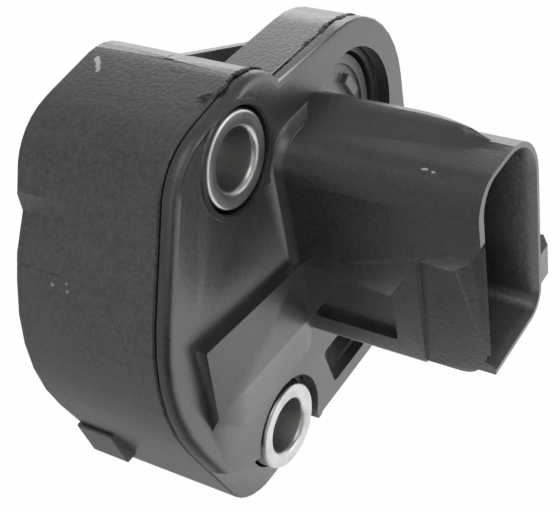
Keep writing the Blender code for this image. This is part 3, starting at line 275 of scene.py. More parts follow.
@dataclass(frozen=True)
class MouldedPlastic:
    """Glass-filled PBT from a spark-eroded tool: satin black with a fine grain.

    The eye gets a soft sheen that breaks up into grains, broad cloudy patches where the melt flowed,
    and faint streaks along the draw of the tool.

    Attributes:
        colour: The tone of the bare plastic.
        bloom: The paler tone that the grain, the patches and the streaks bring.
        patch_bloom: The patches' share of it.
        streak_draw: The scale along the draw, which makes the streaks long.
        patch_range: The noise values and the shares that they become, for the patches.
    """

    name: str
    colour: str
    bloom: str
    rough: float = 0.38
    rough_spread: Pair = (0.05, 0.06)
    ior: float = 1.60
    level: float = 1.0
    coat: float = 0.8
    coat_rough: float = 0.32
    grain_mm: float = 0.36
    grain_height: float = 1.0
    grain_depth_mm: float = 0.06
    patch_mm: float = 5.0
    patch_height: float = 0.6
    patch_bloom: float = 0.4
    streak_mm: float = 0.7
    streak_draw: float = 0.12
    patch_range: Quad = (0.35, 0.7, 0.0, 1.0)
    grain_range: Quad = (0.36, 0.62, 0.0, 0.85)
    streak_range: Quad = (0.5, 0.75, 0.0, 0.22)
    marks_and_highlight: tuple[Mark, ...] = ()
    mark_and_highlight_colour: str = "#e8e8e6"

    def material(self) -> Material:
        """Builds the plastic.

        Returns:
            The node material.
        """
        made, tree = new_material(self.name)
        place = add_node(tree, "ShaderNodeTexCoord").outputs["Object"]
        grain = noise(tree, place, self.grain_mm, 2.0, 0.55)
        patches = noise(tree, place, self.patch_mm, 3.0, 0.6)
        scale = (1.0, 1.0, self.streak_draw)
        drawn = add_node(tree, "ShaderNodeMapping", {"Vector": place, "Scale": scale}).outputs[0]
        streaks = noise(tree, drawn, self.streak_mm, 1.0)
        bloom = arithmetic(tree, "MULTIPLY", ramp(tree, patches, *self.patch_range), self.patch_bloom)
        bloom = arithmetic(tree, "ADD", bloom, ramp(tree, grain, *self.grain_range))
        bloom = arithmetic(tree, "ADD", bloom, ramp(tree, streaks, *self.streak_range))
        colour = blend_colours(tree, bloom, linear(self.colour), linear(self.bloom))
        # Pale marks, one of them a painted highlight, laid over the colour.
        for mark in self.marks_and_highlight:
            share = self._mark(tree, place, grain, mark)
            colour = blend_colours(tree, share, colour, linear(self.mark_and_highlight_colour))
        smoother, rougher = self.rough - self.rough_spread[0], self.rough + self.rough_spread[1]
        rough = ramp(tree, patches, 0.3, 0.7, smoother, rougher)
        relief = arithmetic(tree, "ADD", grain, arithmetic(tree, "MULTIPLY", patches, self.patch_height))
        inputs = {
            "Base Color": colour,
            "Roughness": rough,
            "IOR": self.ior,
            "Specular IOR Level": self.level,
            "Coat Weight": self.coat,
            "Coat Roughness": self.coat_rough,
            "Normal": bump(tree, relief, self.grain_height, self.grain_depth_mm),
        }
        show(tree, inputs)
        return made

    def _mark(self, tree: Tree, place: Socket, grain: Socket, mark: Mark) -> Socket:
        """The share of a pale mark: 1 inside an ellipsoid with a rim torn by the grain.

        Args:
            tree: The node tree.
            place: The surface point.
            grain: The grain noise that tears the rim.
            mark: The mark.

        Returns:
            The mark's share.
        """
        inputs = {"Vector": place, "Location": mark.centre, "Rotation": mark.turn, "Scale": mark.reach}
        moved = add_node(tree, "ShaderNodeMapping", inputs, vector_type="TEXTURE").outputs[0]
        away = add_node(tree, "ShaderNodeVectorMath", {0: moved}, operation="LENGTH").outputs["Value"]
        torn = arithmetic(tree, "ADD", away, ramp(tree, grain, 0.3, 0.7, -0.35, 0.35))
        return ramp(tree, torn, 0.75, 1.0, mark.strength, 0.0)


@dataclass(frozen=True)
class Metal:
    """A metal whose surface keeps the tool's rings or the drawing's lines.

    The eye gets a broken highlight that runs with the rings, and duller patches here and there.
    """

    name: str
    colour: str
    dull: str
    rough: float
    rough_spread: Pair = (0.05, 0.1)
    line_mm: float = 0.18
    line_height: float = 0.25
    line_depth_mm: float = 0.02
    patch_mm: float = 1.6
    along: Triple = (1.0, 1.0, 1.0)

    def material(self) -> Material:
        """Builds the metal.

        Returns:
            The node material.
        """
        made, tree = new_material(self.name)
        place = add_node(tree, "ShaderNodeTexCoord").outputs["Object"]
        drawn = add_node(tree, "ShaderNodeMapping", {"Vector": place, "Scale": self.along}).outputs[0]
        lines = noise(tree, drawn, self.line_mm, 2.0)
        patches = noise(tree, place, self.patch_mm, 3.0)
        dull_patches = ramp(tree, patches, 0.4, 0.7, 0.0, 0.7)
        share = arithmetic(tree, "ADD", dull_patches, ramp(tree, lines, 0.4, 0.8, 0.0, 0.4))
        normal = bump(tree, lines, self.line_height, self.line_depth_mm)
        smoother, rougher = self.rough - self.rough_spread[0], self.rough + self.rough_spread[1]
        inputs = {
            "Base Color": blend_colours(tree, share, linear(self.colour), linear(self.dull)),
            "Metallic": 1.0,
            "Roughness": ramp(tree, patches, 0.3, 0.75, smoother, rougher),
            "Normal": normal,
        }
        show(tree, inputs)
        return made


@dataclass(frozen=True)
class DullSolid:
    """A material without a clear sheen: rubber, fired ceramic or screened carbon film.

    The eye gets an even tone with a fine speckle and hardly any highlight.
    """

    name: str
    colour: str
    speck: str
    rough: float
    speck_mm: float
    speck_height: float = 0.3
    speck_depth_mm: float = 0.03
    rough_spread: float = 0.06
    ior: float = 1.5

    def material(self) -> Material:
        """Builds the material.

        Returns:
            The node material.
        """
        made, tree = new_material(self.name)
        place = add_node(tree, "ShaderNodeTexCoord").outputs["Object"]
        specks = noise(tree, place, self.speck_mm, 3.0)
        share = ramp(tree, specks, 0.4, 0.7, 0.0, 1.0)
        smoother, rougher = self.rough - self.rough_spread, self.rough + self.rough_spread
        inputs = {
            "Base Color": blend_colours(tree, share, linear(self.colour), linear(self.speck)),
            "Roughness": ramp(tree, specks, 0.3, 0.7, smoother, rougher),
            "IOR": self.ior,
            "Normal": bump(tree, specks, self.speck_height, self.speck_depth_mm),
        }
        show(tree, inputs)
        return made


def surface(name: str, points: Array, closed: bool) -> Piece:
    """Makes a mesh from a grid of points: rows follow the path, columns go round the profile.

    Each quad joins a point to the next in its row and the next row, all the way round. Doubles are
    merged, the faces are turned outwards, and the piece is smooth apart from its sharp edges.

    Args:
        name: The piece's name.
        points: The grid, rows by columns by 3.
        closed: Whether the last row joins the first. If not, a face closes each of them.

    Returns:
        The new object.
    """
    rows, columns = points.shape[:2]
    i, j = np.meshgrid(np.arange(rows if closed else rows - 1), np.arange(columns), indexing="ij")
    i2, j2 = (i + 1) % rows, (j + 1) % columns
    quads = np.stack([i * columns + j, i * columns + j2, i2 * columns + j2, i2 * columns + j], axis=-1)
    faces = quads.reshape(-1, 4).tolist()
    if not closed:
        faces.append(list(range(columns))[::-1])
        faces.append(list(range((rows - 1) * columns, rows * columns)))
    mesh = bpy.data.meshes.new(name)
    mesh.from_pydata(points.reshape(-1, 3).tolist(), [], faces)
    made = bpy.data.objects.new(name, mesh)
    bpy.context.scene.collection.objects.link(made)
    shape = bmesh.new()
    shape.from_mesh(mesh)
    bmesh.ops.remove_doubles(shape, verts=shape.verts, dist=MERGE)
    bmesh.ops.recalc_face_normals(shape, faces=shape.faces)
    shape.to_mesh(mesh)
    shape.free()
    mesh.shade_smooth()
    mesh.set_sharp_from_angle(angle=SHARP)
    mesh.update()
    return made


def rounded_loop(corners: Array, radii: Array, steps: int = 5) -> Array:
    """A closed loop through corners, each turned by an arc.

    The arc starts and ends at radius / tan(half the corner's angle) from the corner, and its centre
    lies on the corner's bisector. All the corners are worked out at once.

    Args:
        corners: The corners in order, n by 2.
        radii: A radius for each corner.
        steps: How many spans an arc has.

    Returns:
        The loop's points, n times (steps + 1) by 2.
    """
    before = np.roll(corners, 1, axis=0) - corners
    after = np.roll(corners, -1, axis=0) - corners
    before /= np.linalg.norm(before, axis=1, keepdims=True)
    after /= np.linalg.norm(after, axis=1, keepdims=True)
    half = np.arccos(np.clip((before * after).sum(1), -1, 1)) / 2
    bisector = before + after
    bisector /= np.maximum(np.linalg.norm(bisector, axis=1, keepdims=True), TINY)
    centres = corners + bisector * (radii / np.sin(half))[:, None]
    start = corners + before * (radii / np.tan(half))[:, None] - centres
    side = np.sign(before[:, 0] * after[:, 1] - before[:, 1] * after[:, 0])
    turn = -(np.pi - 2 * half) * side
    angles = turn[:, None] * np.linspace(0, 1, steps + 1)[None, :]
    x = start[:, :1] * np.cos(angles) - start[:, 1:] * np.sin(angles)
    y = start[:, :1] * np.sin(angles) + start[:, 1:] * np.cos(angles)
    return (np.stack([x, y], axis=-1) + centres[:, None, :]).reshape(-1, 2)


def lathe(name: str, corners: list[Triple], centre: Pair = (0.0, 0.0), segments: int = 96) -> Piece:
    """Turns a closed profile about an axis along X.

    A point is (x, centre y + r cos t, centre z + r sin t), for each (x, r) of the profile and each
    angle t of a full turn.

    Args:
        name: The piece's name.
        corners: The profile's corners as x, radius and the arc at that corner.
        centre: The axis's y and z.
        segments: Spans round the turn.

    Returns:
        The new object.
    """
    data = np.array(corners, float)
    loop = rounded_loop(data[:, :2], data[:, 2])
    turn = np.linspace(0, 2 * np.pi, segments, endpoint=False)
    grid = np.empty((segments, len(loop), 3))
    grid[..., 0] = loop[None, :, 0]
    grid[..., 1] = centre[0] + loop[None, :, 1] * np.cos(turn)[:, None]
    grid[..., 2] = centre[1] + loop[None, :, 1] * np.sin(turn)[:, None]
    return surface(name, grid, closed=True)


def sweep(name: str, path: Array, outward: Array, section: Array) -> Piece:
    """Carries a flat section along an open path and closes both ends.

    At each path point the section's first number runs along the outward direction, and its second
    along the cross product of the path's direction and the outward one.

    Args:
        name: The piece's name.
        path: The path's points, n by 3.
        outward: The section's first direction at each point, n by 3.
        section: The section's loop, m by 2, or n by m by 2 where it changes along the path.

    Returns:
        The new object.
    """
    tangent = np.gradient(path, axis=0)
    tangent /= np.linalg.norm(tangent, axis=1, keepdims=True)
    sideways = np.cross(tangent, outward)
    sideways /= np.linalg.norm(sideways, axis=1, keepdims=True)
    out = np.cross(sideways, tangent)
    loops = np.broadcast_to(section, (len(path), *section.shape[-2:]))
    grid = path[:, None, :] + loops[..., :1] * out[:, None, :] + loops[..., 1:] * sideways[:, None, :]
    return surface(name, grid, closed=False)


def circle_section(radius: float, sides: int) -> Array:
    """A round section's loop of points."""
    turn = np.linspace(0, 2 * np.pi, sides, endpoint=False)
    return np.stack([radius * np.cos(turn), radius * np.sin(turn)], axis=-1)


def dress(piece: Piece, material: Material, body: Body, slot: Slot, *nodes: str) -> None:
    """Gives a piece its material and its body, and hides the CAD nodes that it stands for.

    Args:
        piece: The piece.
        material: Its material.
        body: The body that it rides on.
        slot: Not used.
        *nodes: The CAD nodes that it replaces.
    """
    piece.data.materials.clear()
    piece.data.materials.append(material)
    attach(piece, body.value)
    if nodes:
        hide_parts(*nodes)
    LOG.info("%s: %d faces on %s", piece.name, len(piece.data.polygons), body.value)


@dataclass(frozen=True)
class EarForm:
    """The upper ear with its top falling to the near side, and the fin behind it set lower.

    The solids' ear is flat-topped. The copies' points near its outline move in z by the difference
    between the two outlines at their y, and the fin's top is held under its own line.

    Attributes:
        corners: The crowned outline's corners as y and z, from the near flank over the top.
        radii: The arcs at them.
        flat_corners: The solids' own corners, and flat_radii their arcs.
        depths: Points less than the first below the outline move fully, beyond the second not at all.
        reach: The greatest distance from the ear's middle that moves.
        fin: The fin's back and front x.
        fin_low: The fin's points lie past this y and above this z.
        fin_start: A point of the fin's top line, y and z.
        fin_slope: That line's slope.
        fin_give: How far the line gives way where the ear is lower.
        fin_end: The y past which the fin's far end moves whole.
        fin_shift: How far that end moves in y and z.
    """

    corners: tuple[Pair, ...] = (
        (-0.0154, 0.0), (-0.00728, 0.0195), (0.0012, 0.0209), (0.0067, 0.0209), (0.0154, 0.0)
    )
    radii: tuple[float, ...] = (0.0001, 0.0066, 0.0150, 0.0050, 0.0001)
    flat_corners: tuple[Pair, ...] = ((-0.0154, 0.0), (-0.0067, 0.0209), (0.0067, 0.0209), (0.0154, 0.0))
    flat_radii: tuple[float, ...] = (0.0001, 0.0062, 0.0062, 0.0001)
    depths: Pair = (0.0008, 0.0010)
    reach: float = 0.0087
    steps: int = 12
    fin: Pair = (0.0071, 0.0081)
    fin_low: Pair = (0.0035, 0.0150)
    fin_start: Pair = (0.0050, 0.02052)
    fin_slope: float = -0.4254
    fin_give: float = 0.0001
    fin_end: float = 0.0169
    fin_shift: Pair = (-0.00074, -0.00035)

    def outline(self, corners: tuple[Pair, ...], radii: tuple[float, ...]) -> Array:
        """An outline's points as y and z, from the near flank over the top to the far flank.

        Args:
            corners: Its corners.
            radii: The arcs at them.

        Returns:
            The points, n by 2, with y rising.
        """
        loop = rounded_loop(np.array(corners), np.array(radii), self.steps)[self.steps : -self.steps]
        return loop[np.argsort(loop[:, 0], kind="stable")]

    def apply(self, mesh: bpy.types.Mesh) -> None:
        """Moves a copy's points to the crowned outline.

        Args:
            mesh: The copy's mesh.
        """
        points = np.empty(len(mesh.vertices) * 3)
        mesh.vertices.foreach_get("co", points)
        points = points.reshape(-1, 3)
        x, y, z = points.T
        crowned = self.outline(self.corners, self.radii)
        flat = self.outline(self.flat_corners, self.flat_radii)
        old, new = np.interp(y, *flat.T), np.interp(y, *crowned.T)
        spaced = flat[:, 0] + np.arange(len(flat)) * NUDGE
        slope = np.interp(y, flat[:, 0], np.gradient(flat[:, 1], spaced))
        below = (old - z) / np.hypot(1.0, slope)
        near, far = self.depths
        share = np.clip((far - below) / (far - near), 0.0, 1.0) * (np.abs(y) < self.reach) * (z > 0.0)
        on_fin = (x > self.fin[0]) & (x < self.fin[1]) & (y > self.fin_low[0]) & (z > self.fin_low[1])
        z = z + share * (new - old)
        line = self.fin_start[1] + self.fin_slope * (y - self.fin_start[0])
        top = np.minimum(line, np.maximum(new, line - self.fin_give))
        end = on_fin & (y > self.fin_end)
        z = np.where(on_fin & ~end, np.minimum(z, top), z)
        points[:, 1] = np.where(end, y + self.fin_shift[0], y)
        points[:, 2] = np.where(end, z + self.fin_shift[1], z)
        mesh.vertices.foreach_set("co", points.ravel())
        mesh.update()


@dataclass(frozen=True)
class Shell:
    """A copy of a CAD node with its facets merged into whole faces and its sharp edges rounded.

    The copy's doubles are merged, triangles that lie in one plane become one face, and a Bevel of
    two spans rounds each edge that bends more than a limit.

    Attributes:
        edge: The width of the rounding.
        smooth: Edges that bend less than this many degrees are shaded smooth.
        bend: Edges that bend more than this many degrees are rounded.
        form: The form of the upper ear, where the copy has it.
    """

    name: str
    node: str
    edge: float
    smooth: float = 34.0
    bend: float = 34.0
    form: EarForm | None = None

    def build(self) -> Piece:
        """Makes the copy.

        Returns:
            The new object.
        """
        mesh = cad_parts[self.node].data.copy()
        mesh.name = self.name
        if self.form is not None:
            self.form.apply(mesh)
        made = bpy.data.objects.new(self.name, mesh)
        bpy.context.scene.collection.objects.link(made)
        shape = bmesh.new()
        shape.from_mesh(mesh)
        bmesh.ops.remove_doubles(shape, verts=shape.verts, dist=MERGE)
        parts = {"verts": shape.verts, "edges": shape.edges}
        bmesh.ops.dissolve_limit(shape, angle_limit=IN_PLANE, use_dissolve_boundaries=False, **parts)
        shape.to_mesh(mesh)
        shape.free()
        mesh.shade_smooth()
        mesh.set_sharp_from_angle(angle=math.radians(self.smooth))
        bevel = made.modifiers.new("edge", "BEVEL")
        bevel.width = self.edge
        bevel.segments = 2
        bevel.limit_method = "ANGLE"
        bevel.angle_limit = math.radians(self.bend)
        bevel.use_clamp_overlap = True
        bevel.harden_normals = True
        bevel.miter_outer = "MITER_ARC"
        return made


@dataclass
class Finishes:
    """Every finish of the sensor, built once."""

    marks_and_highlight: tuple[Mark, ...] = (
        Mark((0.0020, 0.0015, 0.0208), (0.00135, 0.00027, 0.0004), 1.0, (0.0, 0.0, math.radians(-51.0))),
        Mark((0.0041, -0.0120, 0.0080), (0.00018, 0.0004, 0.00018), 0.55),
        Mark((0.0056, -0.0119, 0.0084), (0.00016, 0.0004, 0.00016), 0.45),
        Mark((0.0057, -0.0121, 0.0078), (0.00014, 0.0004, 0.00014), 0.45),
        Mark((0.0293, 0.0063, 0.0135), (0.00035, 0.00012, 0.0003), 0.8),
        Mark((0.0301, 0.0062, 0.0135), (0.00022, 0.00012, 0.0003), 0.8),
        # Painted highlight: a faint pale line along the top edge of the connector's root flare, standing in
        # for light caught on that edge.
        Mark((0.0170, 0.0072, 0.0136), (0.00006, 0.0013, 0.0005), 0.3, (math.radians(8.0), 0.0, 0.0)),
    )
    made: dict[str, Material] = field(default_factory=dict)

    def build(self) -> None:
        """Builds each material."""
        kinds = (
            MouldedPlastic("moulded_pbt", "#232324", "#4a4a4b", marks_and_highlight=self.marks_and_highlight),
            MouldedPlastic(
                "cover_pbt", "#161617", "#303031", coat=0.65, grain_height=0.5, marks_and_highlight=self.marks_and_highlight
            ),
            MouldedPlastic("inner_pbt", "#5a5a5b", "#747476", rough=0.5),
            MouldedPlastic("weld_pbt", "#151516", "#222223", rough=0.6, coat=0.2),
            Metal("turned_steel", "#e4e4e2", "#c2c2c0", rough=0.32, line_mm=0.16),
            Metal("ground_steel", "#a9aaac", "#808184", rough=0.34, line_mm=0.1, along=(3.0, 1.0, 1.0)),
            Metal("tinned_brass", "#d2d0ca", "#aaa79e", rough=0.3, line_mm=0.3, along=(0.1, 1.0, 1.0)),
            Metal("sintered_bronze", "#b08a5e", "#7d6242", rough=0.46, line_mm=0.12, line_height=0.5),
            DullSolid("nitrile_rubber", "#151515", "#212121", rough=0.72, speck_mm=0.25),
            DullSolid("alumina", "#e4e1d8", "#cfcabd", rough=0.6, speck_mm=0.2),
            DullSolid("carbon_ink", "#161617", "#26262a", rough=0.5, speck_mm=0.15),
        )
        self.made = {kind.name: kind.material() for kind in kinds}

    def __getitem__(self, name: str) -> Material:
        """The finish by its name."""
        return self.made[name]


@dataclass
class Mouldings:
    """The drum housing and the connector cover: copies of the solids with the upper ear's form."""

    housing: Shell = Shell("housing_shell", "drum_housing", 0.00016, smooth=17.0, bend=30.0, form=EarForm())
    cover: Shell = Shell("cover_shell", "connector_cover", 0.00014, smooth=22.0, bend=50.0, form=EarForm())

    def build(self, finishes: Finishes) -> None:
        """Builds both shells."""
        for shell, finish in ((self.housing, "moulded_pbt"), (self.cover, "cover_pbt")):
            dress(shell.build(), finishes[finish], Body.SENSOR, Slot.MOULDED, shell.node)


@dataclass
class WeldFlash:
    """The thin flash that the weld between drum and cover leaves on the upper ear and on the tower.

    Attributes:
        ear_ends: The y where the flash starts and ends on the ear.
        tower: The tower's centre y, centre z and radius.
        tower_start: The y where the flash starts on the tower's flat side.
        tower_end: The angle of its end round the tower, in degrees.
        spur: The spur's two ends on the drum, x and y.
        thickness: Its mean radius.
        flatness: How far it lies flat along the surface, against its thickness.
        sway: How far its middle wanders off the seam.
        lean: How far it stays back from the seam, as a share of the sway.
        swelling: How far its radius swells and shrinks, as a share.
        swell_waves: Size, rate for each millimetre and phase of the sines that swell it.
        drift_waves: The same for the sines that move it off the seam.
        taper_mm: The length over which each end thins out.
        tip: The share of its thickness that is left at the very end.
    """

    ear_ends: Pair = (0.0006, 0.0078)
    tower: Triple = (0.0168, 0.0078, 0.0101)
    tower_start: float = 0.0079
    tower_end: float = 58.0
    spur: tuple[Pair, Pair] = ((0.0144, 0.0009), (0.0132, -0.0003))
    seam: float = 0.01462
    step: float = 0.00006
    thickness: float = 0.00010
    flatness: float = 2.0
    sides: int = 10
    sway: float = 0.00010
    lean: float = 0.6
    swelling: float = 0.6
    swell_waves: tuple[Triple, ...] = ((0.5, 2.3, 0.0), (0.3, 6.1, 1.0), (0.2, 13.0, 2.0))
    drift_waves: tuple[Triple, ...] = ((1.0, 1.7, 0.5), (0.5, 6.3, 0.0), (0.3, 15.0, 0.0))
    taper_mm: float = 0.5
    tip: float = 0.05

    def build(self, finishes: Finishes) -> None:
        """Builds the runs on the ear and the tower, and the spur.

        Args:
            finishes: The finishes.
        """
        form = EarForm()
        outline = form.outline(form.corners, form.radii)
        runs = {
            "ear_flash": self._ear_path(outline),
            "tower_flash": self._tower_path(),
            "flash_spur": self._spur_path(outline),
        }
        for name, run in runs.items():
            dress(self._bead(name, *run), finishes["weld_pbt"], Body.SENSOR, Slot.MOULDED)

    def _ear_path(self, outline: Array) -> tuple[Array, Array]:
        """The ear's outline in evenly spaced points, and the direction out of the drum at each.

        Args:
            outline: The ear's outline as y and z.

        Returns:
            The path and the outward directions, n by 3.
        """
        run = np.concatenate([[0.0], np.cumsum(np.linalg.norm(np.diff(outline, axis=0), axis=1))])
        first, last = np.interp(self.ear_ends, outline[:, 0], run)
        along = np.arange(first, last, self.step)
        y, z = np.interp(along, run, outline[:, 0]), np.interp(along, run, outline[:, 1])
        direction = np.gradient(np.stack([y, z], -1), axis=0)
        direction /= np.linalg.norm(direction, axis=1, keepdims=True)
        outward = np.stack([np.zeros_like(y), -direction[:, 1], direction[:, 0]], -1)
        return np.stack([np.full_like(y, self.seam), y, z], -1), outward

    def _tower_path(self) -> tuple[Array, Array]:
        """The tower's flat side and the arc after it, and the direction outwards at each point.

        Returns:
            The path and the outward directions, n by 3.
        """
        y, z, radius = self.tower
        flat = np.arange(self.tower_start, y, self.step)
        turn = np.arange(math.pi / 2, math.radians(self.tower_end), -self.step / radius)
        arc = np.stack([np.zeros_like(turn), np.cos(turn), np.sin(turn)], -1)
        level = np.broadcast_to([0.0, 0.0, 1.0], (len(flat), 3))
        straight = np.stack([np.full_like(flat, self.seam), flat, np.full_like(flat, z + radius)], -1)
        round_end = np.array([self.seam, y, z]) + arc * radius
        return np.concatenate([straight, round_end]), np.concatenate([level, arc])

    def _spur_path(self, outline: Array) -> tuple[Array, Array]:
        """A short run from the seam back over the drum.

        Args:
            outline: The ear's outline as y and z.

        Returns:
            The path and the outward directions, n by 3.
        """
        ends = np.array(self.spur)
        count = int(np.linalg.norm(ends[1] - ends[0]) / self.step)
        x, y = np.linspace(ends[0], ends[1], count).T
        path = np.stack([x, y, np.interp(y, *outline.T)], -1)
        return path, np.broadcast_to([0.0, 0.0, 1.0], path.shape)

    def _bead(self, name: str, path: Array, outward: Array) -> Piece:
        """Carries a ragged section along a path.

        The section's radius and the path's x are sums of sines of the distance run, so the flash
        swells and wanders, and its section thins out towards each end.

        Args:
            name: The piece's name.
            path: The path, n by 3.
            outward: The outward direction at each point, n by 3.

        Returns:
            The new object.
        """
        run = np.arange(len(path)) * self.step / MM
        swell, drift = (
            sum(size * np.sin(run * rate + phase) for size, rate, phase in waves)
            for waves in (self.swell_waves, self.drift_waves)
        )
        ends = np.clip(np.minimum(run, run[::-1]) / self.taper_mm, self.tip, 1.0)
        moved = path.copy()
        moved[:, 0] += self.sway * (drift - self.lean)
        scale = (ends * (1.0 + self.swelling * swell))[:, None, None]
        section = circle_section(self.thickness, self.sides)[None] * scale
        return sweep(name, moved, outward, section * np.array([1.0, self.flatness]))


@dataclass
class Sleeves:
    """The two turned steel sleeves that the screws pass through, above and below the middle."""

    radius: float = 0.0042
    bore: float = 0.00265
    length: float = 0.016
    outer_edge: float = 0.00035
    bore_edge: float = 0.00055
    height: float = 0.0153
    segments: int = 112

    def build(self, finishes: Finishes) -> None:
        """Turns each sleeve from its profile.

        Args:
            finishes: The finishes.
        """
        corners = [
            (0.0, self.bore, self.bore_edge),
            (0.0, self.radius, self.outer_edge),
            (self.length, self.radius, self.outer_edge),
            (self.length, self.bore, self.bore_edge),
        ]
        for place, side in (("upper", 1), ("lower", -1)):
            sleeve = lathe(f"{place}_sleeve", corners, (0.0, side * self.height), self.segments)
            dress(sleeve, finishes["turned_steel"], Body.SENSOR, Slot.STEEL, f"{place}_bushing")


@dataclass
class TowerDisc:
    """The disc in the tower's recess: a raised rim, a dished floor, a slotted boss and three tabs."""

    disc: Shell = Shell("tower_disc", "tower_plug", 0.00012)

    def build(self, finishes: Finishes) -> None:
        """Rounds the disc's edges."""
        dress(self.disc.build(), finishes["inner_pbt"], Body.SENSOR, Slot.INNER, self.disc.node)


@dataclass
class Blades:
    """The three tin-plated blades in the plug socket."""

    nodes: tuple[str, ...] = ("supply_terminal", "signal_terminal", "ground_terminal")
    edge: float = 0.00008

    def build(self, finishes: Finishes) -> None:
        """Rounds the stamped edges of each blade.

        Args:
            finishes: The finishes.
        """
        for node in self.nodes:
            blade = Shell(node.replace("terminal", "blade"), node, self.edge)
            dress(blade.build(), finishes["tinned_brass"], Body.SENSOR, Slot.BLADE, node)


@dataclass
class BackFittings:
    """What the back face holds: the rubber seal, the flanged bush and the return spring.

    Attributes:
        seal_inset: How far the seal's lip is set in from its two radii.
        seal_lip: The lip's height.
        root_edge: The rounding in the corner under the bush's flange.
    """

    seal_inner: float = 0.0076
    seal_outer: float = 0.0090
    seal_inset: float = 0.0002
    seal_lip: float = 0.0004
    bush_inner: float = 0.00515
    bush_outer: float = 0.00615
    bush_flange: float = 0.0070
    flange_depth: float = 0.0005
    edge: float = 0.00012
    front_edge: float = 0.0001
    flange_edge: float = 0.00008
    root_edge: float = 0.00005
    wire: float = 0.000275
    wire_sides: int = 14
    coil: float = 0.007575
    coil_start: float = 0.003625
    coil_turns: float = 2.6
    coil_pitch: float = 0.00085
    coil_spans: int = 72

    def build(self, finishes: Finishes) -> None:
        """Builds the three fittings.

        Args:
            finishes: The finishes.
        """
        low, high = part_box("mounting_seal")
        corners = [
            (low.x, self.seal_inner + self.seal_inset, self.edge),
            (low.x, self.seal_outer - self.seal_inset, self.edge),
            (low.x + self.seal_lip, self.seal_outer, self.edge),
            (high.x, self.seal_outer, self.front_edge),
            (high.x, self.seal_inner, self.front_edge),
            (low.x + self.seal_lip, self.seal_inner, self.edge),
        ]
        seal = lathe("seal_ring", corners)
        dress(seal, finishes["nitrile_rubber"], Body.SENSOR, Slot.RUBBER, "mounting_seal")
        low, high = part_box("bearing_bush")
        flange = high.x - self.flange_depth
        corners = [
            (low.x, self.bush_inner, self.edge),
            (low.x, self.bush_outer, self.edge),
            (flange, self.bush_outer, self.root_edge),
            (flange, self.bush_flange, self.flange_edge),
            (high.x, self.bush_flange, self.flange_edge),
            (high.x, self.bush_inner, self.front_edge),
        ]
        bush = lathe("flanged_bush", corners)
        dress(bush, finishes["sintered_bronze"], Body.SENSOR, Slot.BRONZE, "bearing_bush")
        dress(self._spring(), finishes["ground_steel"], Body.SENSOR, Slot.SPRING, "return_spring")

    def _spring(self) -> Piece:
        """The return spring: a round wire along a helix about X.

        The wire's middle is (start + pitch t / 2 pi, R cos t, R sin t), with t from 0 to 2 pi times
        the turns.

        Returns:
            The new object.
        """
        spans = int(self.coil_turns * self.coil_spans)
        turn = np.linspace(0, 2 * np.pi * self.coil_turns, spans + 1)
        outward = np.stack([np.zeros_like(turn), np.cos(turn), np.sin(turn)], axis=-1)
        path = outward * self.coil
        path[:, 0] = self.coil_start + self.coil_pitch * turn / (2 * np.pi)
        return sweep("coil_spring", path, outward, circle_section(self.wire, self.wire_sides))


@dataclass
class RotorParts:
    """The hub, its steel insert, its snap ring and washer.

    Attributes:
        bore_end: The radius that the bore narrows to at its end.
        bore_past: How far the bore runs past the flange's back.
    """

    hub_radius: float = 0.0050
    bore: float = 0.00395
    bore_end: float = 0.0008
    bore_past: float = 0.0002
    flange_radius: float = 0.0084
    flange_depth: float = 0.0010
    carrier_gap: float = 0.00015
    spindle: float = 0.0030
    groove: float = 0.0043
    groove_ends: Pair = (0.0011, 0.0019)
    edge: float = 0.00012
    groove_edge: float = 0.00005
    end_edge: float = 0.0001
    insert: Shell = Shell("insert", "shaft_insert", 0.0001)
    ring: Shell = Shell("snap_ring", "retaining_ring", 0.00008)
    washer_gap: float = 0.00015
    washer_edge: float = 0.00006

    def build(self, finishes: Finishes) -> None:
        """Builds the turning pieces.

        Args:
            finishes: The finishes.
        """
        low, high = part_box("rotor_hub")
        flange_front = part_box("wiper_carrier")[0].x - self.carrier_gap
        flange_back = flange_front - self.flange_depth
        groove_back, groove_front = self.groove_ends
        corners = [
            (low.x, self.bore, self.edge),
            (low.x, self.hub_radius, self.edge),
            (groove_back, self.hub_radius, self.groove_edge),
            (groove_back, self.groove, self.groove_edge),
            (groove_front, self.groove, self.groove_edge),
            (groove_front, self.hub_radius, self.groove_edge),
            (flange_back, self.hub_radius, self.edge),
            (flange_back, self.flange_radius, self.edge),
            (flange_front, self.flange_radius, self.edge),
            (flange_front, self.spindle, self.edge),
            (high.x, self.spindle, self.edge),
            (high.x, self.bore_end, self.end_edge),
            (flange_back + self.bore_past, self.bore_end, self.end_edge),
            (flange_back + self.bore_past, self.bore, self.end_edge),
        ]
        hub = lathe("hub", corners)
        dress(hub, finishes["inner_pbt"], Body.ROTOR, Slot.INNER, "rotor_hub")
        dress(self.insert.build(), finishes["turned_steel"], Body.ROTOR, Slot.STEEL, self.insert.node)
        dress(self.ring.build(), finishes["ground_steel"], Body.ROTOR, Slot.SPRING, self.ring.node)
        low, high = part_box("thrust_washer")
        inner = self.hub_radius + self.washer_gap
        corners = [
            (low.x, inner, self.washer_edge),
            (low.x, high.y, self.washer_edge),
            (high.x, high.y, self.washer_edge),
            (high.x, inner, self.washer_edge),
        ]
        washer = lathe("washer", corners)
        dress(washer, finishes["sintered_bronze"], Body.ROTOR, Slot.BRONZE, "thrust_washer")


